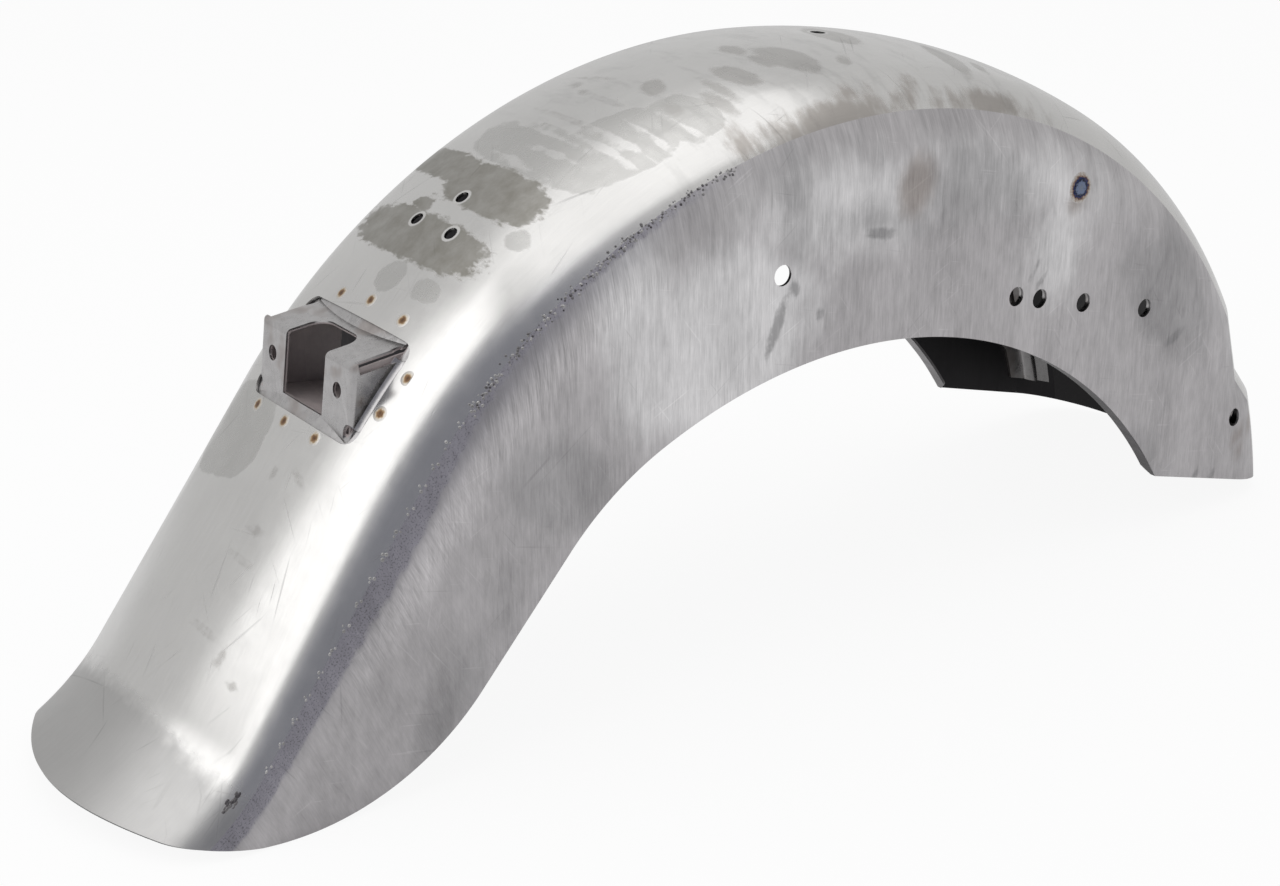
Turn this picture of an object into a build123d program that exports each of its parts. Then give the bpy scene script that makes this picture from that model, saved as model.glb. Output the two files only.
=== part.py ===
from build123d import *
import math
import os

# Motorcycle rear fender, all sizes in mm.
# Profiles are drawn in the wheel frame: its origin is the centre the crown arc is struck from,
# x runs to the front of the bike and z up. REST_PITCH then stands the fender on the floor.

# Sheet and cross-section
SHEET = 1.6
WIDTH = 180.0
HALF = WIDTH / 2
CROWN_R = 348.0
BOW_R = 253.0
SHOULDER_R = 44.0
SEAM_SLOPE = 55.0

# Stages along the crown, as angles about the wheel centre
FRONT_SWEEP_START = 17.0
RECESS_FOOT = 35.0
RECESS_FLOOR = 38.5
RECESS_TOP = 46.0
RECESS_DEPTH = 7.0
TAIL_ANGLE = 158.5

# Straight tail run and its outward flip
TAIL_PLAIN = 18.0
TAIL_RUN = 124.0
TAIL_BOW_R = 205.0
TAIL_SHOULDER_R = 31.0
FLIP_R = 106.0
FLIP_SWEEP = 62.0
FLIP_CUT = 32.49

# Side outline
FRONT_Z = 139.1
ARCH_X = 2.8
ARCH_DEPTH = 138.9
ARCH_R = 282.0
ARCH_END = 130.0
HAUNCH_R = 160.0
HAUNCH_END = 153.83
BELLY_R = 127.5
TAIL_SLOPE = 4.8
TRIM_SPARE = 14.0
SKIRT_DEPTH = ARCH_DEPTH + TRIM_SPARE
LIP = 8.5

# Bolt holes in the sides
HOLE_R = 5.25
STRUT_X = (-129.7, 34.4, 52.7, 87.6, 138.9)
STRUT_DEPTH = 115.0
STRUT_RISE = 0.0158
FRONT_HOLE_DEPTH = 44.1
FRONT_HOLE_ANGLE = 35.57

# Holes in the crown
SEAT_ANGLE = 100.3
SEAT_HOLE_R = 4.0
TRIO_ANGLE = 137.5
TRIO_DROP = 19.4
TRIO_SPREAD = 30.0
TRIO_HOLE_R = 3.5

# Tail-light opening and bracket
OPEN_ANGLE = 154.3
OPEN_WIDTH = 95.0
OPEN_LENGTH = 54.2
OPEN_CORNER = 8.0
FLANGE_SLOPE = 20.0
FLANGE_START = 146.8
FLANGE_TAIL = 14.0
EAR_RISE = 14.25
EAR_ANGLE = 153.65
EAR_NORMAL = 188.0
SHELF_RISE = 22.0
BOX_HALF = 43.0
BOX_RUN = 48.0
BOX_BEND = 3.0
EAR_HOLE_DROP = 14.2
EAR_SPREAD = 61.4
EAR_HOLE_R = 3.75
NOTCH_WIDTH = 37.2
NOTCH_RUN = 20.0
NOTCH_DROP = 30.0
NOTCH_CORNER = 9.0
SLIT = 3.4
SLIT_DROP = 5.0
RELIEF_R = 4.5
CORE_MARGIN = 12.0

# Front inner brackets
HAT_SLOPE = 60.0
HAT_DEPTH = 56.0
HAT_START = 22.0
HAT_END = 50.0
HAT_LIFT = 10.5
BEAD_SLOPE = 78.0
BEAD_R = 5.5

# Strut doubler plates
DOUBLER_MARGIN = 17.0
DOUBLER_TALL = 32.0
DOUBLER_CORNER = 6.0
DOUBLER_TAB = 26.0
DOUBLER_TAB_X = 61.5
DOUBLER_REACH = 51.5


def polar(radius, angle):
    """Wheel-frame point at a radius and an angle in degrees."""
    return (radius * math.cos(math.radians(angle)), radius * math.sin(math.radians(angle)))


def offset(point, distance, angle):
    """Wheel-frame point moved a distance along an angle in degrees."""
    step = polar(distance, angle)
    return (point[0] + step[0], point[1] + step[1])


def along(start, end, angle):
    """Distance from one wheel-frame point to another, measured along an angle in degrees."""
    way = polar(1, angle)
    return (end[0] - start[0]) * way[0] + (end[1] - start[1]) * way[1]


# Crown line of the tail: straight down from the crown arc, then the flip
TAIL_FOOT = polar(CROWN_R, TAIL_ANGLE)
TAIL_TURN = offset(TAIL_FOOT, TAIL_PLAIN + TAIL_RUN, TAIL_ANGLE + 90)
FLIP_C = offset(TAIL_TURN, FLIP_R, TAIL_ANGLE)
TAIL_TIP = offset(FLIP_C, FLIP_R, TAIL_ANGLE + 180 - FLIP_CUT)

# Lower edge: arch and haunch arcs, a straight run, and a belly arc that rounds it into the tail cut
ARCH_C = (ARCH_X, CROWN_R - ARCH_DEPTH - ARCH_R)
HAUNCH_C = offset(ARCH_C, ARCH_R - HAUNCH_R, ARCH_END)
BELLY_LEVEL = offset(TAIL_TIP, BELLY_R, TAIL_SLOPE + 90)
BELLY_GAP = HAUNCH_R + BELLY_R - along(HAUNCH_C, BELLY_LEVEL, HAUNCH_END)
BELLY_SHIFT = BELLY_GAP / math.cos(math.radians(HAUNCH_END - TAIL_SLOPE))
BELLY_C = offset(BELLY_LEVEL, BELLY_SHIFT, TAIL_SLOPE)
BELLY_END = offset(BELLY_C, BELLY_R, TAIL_SLOPE + 270)
ARCH_FRONT = math.degrees(math.asin((FRONT_Z - ARCH_C[1]) / ARCH_R))
HAUNCH_MID = (ARCH_END + HAUNCH_END) / 2

# Rest pose: the belly arcs and the front edge of the crown stand on the floor
FRONT_TIP = (math.sqrt(CROWN_R**2 - FRONT_Z**2), FRONT_Z)
STAND = (BELLY_C[0] - FRONT_TIP[0], BELLY_C[1] - FRONT_TIP[1])
REST_PITCH = math.degrees(math.asin(BELLY_R / math.hypot(*STAND)) + math.atan2(-STAND[1], -STAND[0]))
PITCH = math.radians(REST_PITCH)


def tilt(direction):
    """Wheel-frame direction turned into the rest frame."""
    x, z = direction
    return Vector(x * math.cos(PITCH) + z * math.sin(PITCH), 0, -x * math.sin(PITCH) + z * math.cos(PITCH))


MID_X = (tilt(FRONT_TIP).X + tilt(TAIL_TIP).X) / 2
FLOOR_Z = tilt(FRONT_TIP).Z


def at(point, y=0.0):
    """Wheel-frame point placed in the rest frame."""
    return tilt(point) + Vector(-MID_X, y, -FLOOR_Z)


SIDE = Plane(origin=at((0, 0)), x_dir=tilt((1, 0)), z_dir=(0, -1, 0))


def station(origin, angle):
    """Section plane across the crown: local x runs outward, local y to the left of the bike."""
    return Plane(origin=at(origin), x_dir=tilt(polar(1, angle)), z_dir=tilt(polar(1, angle + 90)))


def skin_plane(angle):
    """Plane lying on the crown: local x runs left, local y to the tail and z outward."""
    return Plane(origin=at(polar(CROWN_R, angle)), x_dir=(0, 1, 0), z_dir=tilt(polar(1, angle)))


def section_point(slope, inset, bow, shoulder):
    """Point of the cross-section where the sheet slopes by an angle, inset into the sheet."""
    reach = HALF - shoulder
    drop = bow - math.sqrt((bow - shoulder) ** 2 - reach**2)
    turn = math.radians(abs(slope))
    side = math.copysign(1, slope)
    if turn <= math.atan2(reach, bow - drop) + 1e-9:
        return (-bow + (bow - inset) * math.cos(turn), side * (bow - inset) * math.sin(turn))
    return (
        -drop + (shoulder - inset) * math.cos(turn),
        side * (reach + (shoulder - inset) * math.sin(turn)),
    )


def blend_slope(bow, shoulder):
    """Slope at which the crown arc runs into the shoulder arc."""
    reach = HALF - shoulder
    return math.degrees(math.asin(reach / (bow - shoulder)))


def arc_run(first, last, inset, bow, shoulder):
    """One arc of the cross-section between two slopes."""
    ThreePointArc(
        section_point(first, inset, bow, shoulder),
        section_point((first + last) / 2, inset, bow, shoulder),
        section_point(last, inset, bow, shoulder),
    )


def crown_section(plane, bow=BOW_R, shoulder=SHOULDER_R, limit=SEAM_SLOPE, outer=0.0, inner=SHEET):
    """Closed section of the crown between two equal slopes and two insets."""
    blend = blend_slope(bow, shoulder)
    with BuildSketch(plane) as section:
        with BuildLine():
            for inset in (outer, inner):
                arc_run(-limit, -blend, inset, bow, shoulder)
                arc_run(-blend, blend, inset, bow, shoulder)
                arc_run(blend, limit, inset, bow, shoulder)
            for slope in (-limit, limit):
                Line(
                    section_point(slope, outer, bow, shoulder),
                    section_point(slope, inner, bow, shoulder),
                )
        make_face()
    return section.sketch


def side_section(plane, hand, bow=BOW_R, shoulder=SHOULDER_R):
    """Closed section of a side: the lower shoulder and its straight skirt."""
    with BuildSketch(plane) as section:
        with BuildLine():
            for inset in (0.0, SHEET):
                arc_run(hand * SEAM_SLOPE, hand * 90, inset, bow, shoulder)
                Line(
                    section_point(hand * 90, inset, bow, shoulder),
                    (-SKIRT_DEPTH, hand * (HALF - inset)),
                )
            Line((-SKIRT_DEPTH, hand * HALF), (-SKIRT_DEPTH, hand * (HALF - SHEET)))
            Line(
                section_point(hand * SEAM_SLOPE, 0.0, bow, shoulder),
                section_point(hand * SEAM_SLOPE, SHEET, bow, shoulder),
            )
        make_face()
    return section.sketch


WHEEL_AXIS = Axis(at((0, 0)), (0, -1, 0))
FLIP_AXIS = Axis(at(FLIP_C), (0, 1, 0))


def arc_stage(section, first, last):
    """Carry a section round the wheel centre between two angles."""
    start = station(polar(CROWN_R, first), first)
    revolve(section(start), axis=WHEEL_AXIS, revolution_arc=last - first)


def recess_stage(section, shallow, deep):
    """Carry a section from the full radius to the floor of the front recess."""
    edge = station(polar(CROWN_R, shallow), shallow)
    floor = station(polar(CROWN_R - RECESS_DEPTH, deep), deep)
    loft([section(edge), section(floor)], ruled=True)


def tail_stages(section):
    """Carry a section down the straight tail and round the flip, flattening it on the way."""
    foot = station(TAIL_FOOT, TAIL_ANGLE)
    plain = foot.offset(TAIL_PLAIN)
    turn = plain.offset(TAIL_RUN)
    flat = section(turn, bow=TAIL_BOW_R, shoulder=TAIL_SHOULDER_R)
    extrude(section(foot), amount=TAIL_PLAIN)
    loft([section(plain), flat], ruled=True)
    revolve(flat, axis=FLIP_AXIS, revolution_arc=FLIP_SWEEP)


def shell_stages(section):
    """Carry a section along the whole fender, front to tail."""
    arc_stage(section, FRONT_SWEEP_START, RECESS_FOOT)
    recess_stage(section, RECESS_FOOT, RECESS_FLOOR)
    recess_stage(section, RECESS_TOP, RECESS_FLOOR)
    arc_stage(section, RECESS_TOP, TAIL_ANGLE)
    tail_stages(section)


def trim_outline():
    """Side view of everything above the lower edges: front cut, wheel arch, haunch, belly and tail cut."""
    far = CROWN_R * 2
    arch_front = offset(ARCH_C, ARCH_R, ARCH_FRONT)
    arch_end = offset(ARCH_C, ARCH_R, ARCH_END)
    haunch_end = offset(HAUNCH_C, HAUNCH_R, HAUNCH_END)
    belly_start = offset(BELLY_C, BELLY_R, HAUNCH_END + 180)
    tail_end = offset(BELLY_END, far, 180 + TAIL_SLOPE)
    with BuildSketch(SIDE) as outline:
        with BuildLine():
            Line((far, FRONT_Z), arch_front)
            ThreePointArc(arch_front, offset(ARCH_C, ARCH_R, 90), arch_end)
            ThreePointArc(arch_end, offset(HAUNCH_C, HAUNCH_R, HAUNCH_MID), haunch_end)
            Line(haunch_end, belly_start)
            ThreePointArc(
                belly_start,
                offset(BELLY_C, BELLY_R, (HAUNCH_END + 180 + 270 + TAIL_SLOPE) / 2),
                BELLY_END,
            )
            Polyline(BELLY_END, tail_end, (tail_end[0], far), (far, far), (far, FRONT_Z))
        make_face()
    return outline.sketch


def lip_outline(plane):
    """Side view of the lip turned inward along the wheel arch and haunch."""
    with BuildSketch(plane) as outline:
        with BuildLine():
            for thick in (0.0, SHEET):
                ThreePointArc(
                    offset(ARCH_C, ARCH_R + thick, ARCH_FRONT),
                    offset(ARCH_C, ARCH_R + thick, 90),
                    offset(ARCH_C, ARCH_R + thick, ARCH_END),
                )
                ThreePointArc(
                    offset(HAUNCH_C, HAUNCH_R + thick, ARCH_END),
                    offset(HAUNCH_C, HAUNCH_R + thick, HAUNCH_MID),
                    offset(HAUNCH_C, HAUNCH_R + thick, HAUNCH_END),
                )
            Line(offset(ARCH_C, ARCH_R, ARCH_FRONT), offset(ARCH_C, ARCH_R + SHEET, ARCH_FRONT))
            Line(
                offset(HAUNCH_C, HAUNCH_R, HAUNCH_END),
                offset(HAUNCH_C, HAUNCH_R + SHEET, HAUNCH_END),
            )
        make_face()
    return outline.sketch


def strut_points(xs):
    """Strut holes lie on one straight row that rises slightly to the front."""
    return [(x, CROWN_R - STRUT_DEPTH + STRUT_RISE * x) for x in xs]


def side_holes():
    """Side view of the bolt holes: the strut row and the front hole."""
    with BuildSketch(SIDE) as holes:
        with Locations(*strut_points(STRUT_X), polar(CROWN_R - FRONT_HOLE_DEPTH, FRONT_HOLE_ANGLE)):
            Circle(HOLE_R)
    return holes.sketch


def side_panel(hand):
    """One side: lower shoulder and skirt, trimmed, lipped and drilled. The right side has hand -1."""
    shell_stages(lambda plane, **sizes: side_section(plane, hand, **sizes))
    extrude(trim_outline(), amount=WIDTH, both=True, mode=Mode.INTERSECT)
    extrude(lip_outline(SIDE.offset(-hand * (HALF - LIP))), amount=-hand * (LIP - SHEET / 2))
    lip_corner = at(offset(ARCH_C, ARCH_R + SHEET / 2, ARCH_FRONT), hand * (HALF - LIP))
    chamfer(edges().sort_by_distance(lip_corner)[0], LIP - 2 * SHEET)
    extrude(side_holes(), amount=-hand * WIDTH, mode=Mode.SUBTRACT)


def bead_slopes(radius, inset):
    """Slopes at which a circle about the bead's centre crosses the sheet at an inset."""
    seat = SHOULDER_R - SHEET
    layer = SHOULDER_R - inset
    half = math.degrees(math.acos((seat**2 + layer**2 - radius**2) / (2 * seat * layer)))
    return BEAD_SLOPE - half, BEAD_SLOPE + half


def hat_section(plane, hand, bow=BOW_R, shoulder=SHOULDER_R):
    """Closed section of a front bracket: a layer on the skin with a hollow half-round bead."""
    with BuildSketch(plane) as section:
        with BuildLine():
            for inset, radius in ((SHEET, BEAD_R - SHEET), (2 * SHEET, BEAD_R)):
                low, high = bead_slopes(radius, inset)
                arc_run(hand * HAT_SLOPE, hand * low, inset, bow, shoulder)
                ThreePointArc(
                    section_point(hand * low, inset, bow, shoulder),
                    section_point(hand * BEAD_SLOPE, SHEET + radius, bow, shoulder),
                    section_point(hand * high, inset, bow, shoulder),
                )
                arc_run(hand * high, hand * 90, inset, bow, shoulder)
                Line(
                    section_point(hand * 90, inset, bow, shoulder),
                    (-HAT_DEPTH, hand * (HALF - inset)),
                )
            Line((-HAT_DEPTH, hand * (HALF - SHEET)), (-HAT_DEPTH, hand * (HALF - 2 * SHEET)))
            Line(
                section_point(hand * HAT_SLOPE, SHEET, bow, shoulder),
                section_point(hand * HAT_SLOPE, 2 * SHEET, bow, shoulder),
            )
        make_face()
    return section.sketch


def front_bracket(hand):
    """One front inner bracket: the beaded layer along the recess, cut level above the front edge."""

    def section(plane):
        return hat_section(plane, hand)

    arc_stage(section, HAT_START, RECESS_FOOT)
    recess_stage(section, RECESS_FOOT, RECESS_FLOOR)
    recess_stage(section, RECESS_TOP, RECESS_FLOOR)
    arc_stage(section, RECESS_TOP, HAT_END)
    with BuildSketch(SIDE) as above_foot:
        with Locations((CROWN_R, FRONT_Z + HAT_LIFT)):
            Rectangle(CROWN_R * 2, CROWN_R, align=(Align.CENTER, Align.MIN))
    extrude(above_foot.sketch, amount=WIDTH, both=True, mode=Mode.INTERSECT)
    extrude(side_holes(), amount=-hand * WIDTH, mode=Mode.SUBTRACT)


def strut_doubler(hand):
    """One flat doubler plate behind the strut row, with a tab up to its plug weld."""
    row = strut_points((STRUT_X[1], STRUT_X[-1]))
    middle = ((row[0][0] + row[1][0]) / 2, (row[0][1] + row[1][1]) / 2)
    length = row[1][0] - row[0][0] + 2 * DOUBLER_MARGIN
    with BuildSketch(SIDE.offset(-hand * (HALF - 2 * SHEET))) as plate:
        with Locations(middle):
            RectangleRounded(length, DOUBLER_TALL, DOUBLER_CORNER)
        with Locations((DOUBLER_TAB_X, middle[1])):
            Rectangle(DOUBLER_TAB, CROWN_R, align=(Align.CENTER, Align.MIN))
        Circle(CROWN_R - DOUBLER_REACH, mode=Mode.INTERSECT)
    extrude(plate.sketch, amount=-hand * SHEET)
    extrude(side_holes(), amount=-hand * WIDTH, mode=Mode.SUBTRACT)


EAR_TOP = polar(CROWN_R + EAR_RISE, EAR_ANGLE)
EAR_FALL = EAR_NORMAL + 90
EAR_PLANE = Plane(origin=at(EAR_TOP), x_dir=(0, 1, 0), z_dir=tilt(polar(1, EAR_NORMAL)))
SHELF_PLANE = Plane(origin=at(EAR_TOP), x_dir=(0, 1, 0), z_dir=tilt(polar(1, SHELF_RISE + 90)))


def light_box(inset):
    """Wedge that stands out of the opening: shelf on top and ear face behind, with rounded bends."""
    spread = math.radians(SHELF_RISE + 360 - EAR_FALL) / 2
    top = offset(EAR_TOP, inset / math.sin(spread), (SHELF_RISE + 360 + EAR_FALL) / 2)
    with BuildPart() as wedge:
        with BuildSketch(SIDE):
            with BuildLine():
                Polyline(
                    top,
                    offset(top, BOX_RUN, SHELF_RISE),
                    offset(top, BOX_RUN, EAR_FALL),
                    close=True,
                )
            make_face()
        extrude(amount=BOX_HALF - inset, both=True)
        rear = Axis(at(EAR_TOP), tilt(polar(1, EAR_NORMAL)))
        fall = Axis(at(EAR_TOP), tilt(polar(1, EAR_FALL)))
        ear_edges = wedge.faces().sort_by(rear)[-1].edges().sort_by(fall)
        fillet(ear_edges[:3], BOX_BEND - inset)
    return wedge.part


def crown_layer(start, tail, mode=Mode.ADD, **sizes):
    """Layer that follows the crown from an angle to a distance down the straight tail."""
    revolve(
        crown_section(station(polar(CROWN_R, start), start), **sizes),
        axis=WHEEL_AXIS,
        revolution_arc=TAIL_ANGLE - start,
        mode=mode,
    )
    extrude(crown_section(station(TAIL_FOOT, TAIL_ANGLE), **sizes), amount=tail, mode=mode)


def save(piece, name):
    """Label a piece and write its STEP file."""
    piece.part.label = name
    export_step(piece.part, "parts/" + name + ".step")


os.makedirs("parts", exist_ok=True)

# Crown: one pressed panel from the front edge to the flipped tail
with BuildPart() as crown_panel:
    shell_stages(crown_section)
    extrude(trim_outline(), amount=WIDTH, both=True, mode=Mode.INTERSECT)
    with BuildSketch(skin_plane(OPEN_ANGLE)):
        RectangleRounded(OPEN_WIDTH, OPEN_LENGTH, OPEN_CORNER)
    with BuildSketch(skin_plane(SEAT_ANGLE)):
        Circle(SEAT_HOLE_R)
    with BuildSketch(skin_plane(TRIO_ANGLE)):
        with Locations((0, 0), (-TRIO_SPREAD / 2, TRIO_DROP), (TRIO_SPREAD / 2, TRIO_DROP)):
            Circle(TRIO_HOLE_R)
    extrude(amount=SHOULDER_R / 2, both=True, mode=Mode.SUBTRACT)
save(crown_panel, "crown_panel")

# Sides: skirts with the wheel arch lip and the strut holes
with BuildPart() as right_side_panel:
    side_panel(-1)
save(right_side_panel, "right_side_panel")

with BuildPart() as left_side_panel:
    side_panel(1)
save(left_side_panel, "left_side_panel")

# Tail-light bracket: a flange under the crown and a box of shelf, ears and webs through the opening
with BuildPart() as taillight_bracket:
    add(light_box(0.0))
    crown_layer(FLANGE_START, FLANGE_TAIL, limit=FLANGE_SLOPE, outer=SHEET, inner=2 * SHEET)
    crown_layer(
        FLANGE_START - CORE_MARGIN,
        FLANGE_TAIL + CORE_MARGIN,
        mode=Mode.SUBTRACT,
        limit=FLANGE_SLOPE + CORE_MARGIN,
        outer=2 * SHEET,
        inner=SHOULDER_R - SHEET,
    )
    add(light_box(SHEET), mode=Mode.SUBTRACT)
    with BuildSketch(SHELF_PLANE):
        with Locations((0, -NOTCH_RUN)):
            RectangleRounded(NOTCH_WIDTH, NOTCH_RUN * 2, NOTCH_CORNER, align=(Align.CENTER, Align.MIN))
        for hand in (-1, 1):
            with Locations((hand * BOX_HALF, -BOX_BEND)):
                Rectangle(SLIT * 2, BOX_RUN, align=(Align.CENTER, Align.MAX))
    extrude(amount=-SLIT_DROP, both=True, mode=Mode.SUBTRACT)
    with BuildSketch(EAR_PLANE):
        Rectangle(NOTCH_WIDTH, NOTCH_DROP, align=(Align.CENTER, Align.MIN))
        with Locations((-EAR_SPREAD / 2, EAR_HOLE_DROP), (EAR_SPREAD / 2, EAR_HOLE_DROP)):
            Circle(EAR_HOLE_R)
    extrude(amount=SLIT_DROP, both=True, mode=Mode.SUBTRACT)
    with BuildSketch(skin_plane(OPEN_ANGLE)):
        with GridLocations(OPEN_WIDTH - 2 * RELIEF_R, OPEN_LENGTH - 2 * RELIEF_R, 2, 2):
            Circle(RELIEF_R)
    extrude(amount=SLIT_DROP, both=True, mode=Mode.SUBTRACT)
save(taillight_bracket, "taillight_bracket")

# Front inner brackets, spot-welded behind the front holes
with BuildPart() as right_front_bracket:
    front_bracket(-1)
save(right_front_bracket, "right_front_bracket")

with BuildPart() as left_front_bracket:
    front_bracket(1)
save(left_front_bracket, "left_front_bracket")

# Doubler plates behind the strut holes
with BuildPart() as right_strut_doubler:
    strut_doubler(-1)
save(right_strut_doubler, "right_strut_doubler")

with BuildPart() as left_strut_doubler:
    strut_doubler(1)
save(left_strut_doubler, "left_strut_doubler")
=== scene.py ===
"""Motorcycle rear fender in bare steel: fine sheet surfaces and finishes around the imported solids."""
import logging
import math
from dataclasses import dataclass, field
from enum import Enum
from functools import partial, reduce

import bmesh
import bpy
import numpy as np
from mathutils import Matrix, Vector


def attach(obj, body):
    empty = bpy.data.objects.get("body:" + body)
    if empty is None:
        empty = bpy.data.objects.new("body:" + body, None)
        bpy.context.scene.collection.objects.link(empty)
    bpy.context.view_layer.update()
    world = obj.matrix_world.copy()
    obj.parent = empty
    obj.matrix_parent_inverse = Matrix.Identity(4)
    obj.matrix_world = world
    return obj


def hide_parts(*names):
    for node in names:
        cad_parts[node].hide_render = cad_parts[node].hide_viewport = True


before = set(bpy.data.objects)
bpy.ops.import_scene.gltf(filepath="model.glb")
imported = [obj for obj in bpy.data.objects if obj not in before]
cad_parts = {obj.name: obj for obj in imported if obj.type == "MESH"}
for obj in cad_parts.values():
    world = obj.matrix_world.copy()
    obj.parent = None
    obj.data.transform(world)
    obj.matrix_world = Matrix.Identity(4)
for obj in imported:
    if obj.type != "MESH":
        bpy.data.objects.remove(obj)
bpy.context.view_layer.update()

LOG = logging.getLogger("fender")
MM = 0.001
BODY = "root"
SHARP_ANGLE = math.radians(38)
NO_MARK = -60.0

Socket = bpy.types.NodeSocket
Feed = bpy.types.NodeSocket | float | tuple[float, ...]
Colour = tuple[float, float, float]


class Hand(Enum):
    """Side of the motorcycle: the sign is the side's direction along y."""

    RIGHT = -1
    LEFT = 1


class Slot(Enum):
    """Material slots of the record."""

    CROWN = "crown_steel"
    SKIRT = "skirt_steel"
    BRACKET = "bracket_steel"


def unit(angle: np.ndarray | float) -> np.ndarray:
    """Unit directions in the side view (x forward, z up) at angles in degrees."""
    turn = np.radians(angle)
    return np.stack([np.cos(turn), np.sin(turn)], axis=-1)


def along(step: np.ndarray, angle: float) -> np.ndarray:
    """Length of side-view steps measured along an angle in degrees."""
    return step @ unit(angle)


def cells(index: np.ndarray) -> np.ndarray:
    """Faces between neighbours in a grid of point numbers, by row and column."""
    return np.stack([index[:-1, :-1], index[:-1, 1:], index[1:, 1:], index[1:, :-1]], axis=-1)


def border(index: np.ndarray) -> np.ndarray:
    """Point numbers round the edge of a grid, in order."""
    return np.concatenate([index[0, :-1], index[:-1, -1], index[-1, :0:-1], index[:0:-1, 0]])


@dataclass(frozen=True)
class Section:
    """Cross-section of the sheet: a bowed crown that runs into two rounded shoulders.

    Points are named by the slope of the sheet in degrees, negative to the right. Past 90 the skirt
    falls straight, one millimetre for each unit.
    """

    half: float
    bow: float
    shoulder: float

    @property
    def reach(self) -> float:
        """Distance from the middle to the shoulder arc's centre."""
        return self.half - self.shoulder

    @property
    def drop(self) -> float:
        """Depth of the shoulder arc's centre below the crown line."""
        return self.bow - math.sqrt((self.bow - self.shoulder) ** 2 - self.reach**2)

    @property
    def blend(self) -> float:
        """Slope at which the crown arc runs into the shoulder arc."""
        return math.degrees(math.asin(self.reach / (self.bow - self.shoulder)))

    def point(self, slope: np.ndarray, inset: float | np.ndarray) -> tuple[np.ndarray, np.ndarray]:
        """Height over the crown line and distance to the side.

        Up to the blend: (-bow + (bow - i) cos a, (bow - i) sin a). Up to 90 degrees:
        (-drop + (shoulder - i) cos a, reach + (shoulder - i) sin a). Then straight down.

        Args:
            slope: Signed slopes in degrees, past 90 with the skirt's depth added.
            inset: Depth into the sheet, square to its face.

        Returns:
            Heights and signed side distances, in millimetres.
        """
        size = np.abs(slope)
        turn = np.radians(np.minimum(size, 90.0))
        on_bow = size <= self.blend
        centre = np.where(on_bow, -self.bow, -self.drop)
        radius = np.where(on_bow, self.bow, self.shoulder) - inset
        height = centre + radius * np.cos(turn) - np.maximum(size - 90.0, 0.0)
        side = np.where(on_bow, 0.0, self.reach) + radius * np.sin(turn)
        return height, np.sign(slope) * side

    def across(self, slope: np.ndarray) -> np.ndarray:
        """Signed length along the section from the middle to a slope."""
        size = np.abs(slope)
        bow_run = self.bow * np.radians(np.minimum(size, self.blend))
        turn = np.radians(np.clip(size, self.blend, 90.0) - self.blend)
        return np.sign(slope) * (bow_run + self.shoulder * turn + np.maximum(size - 90.0, 0.0))


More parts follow.
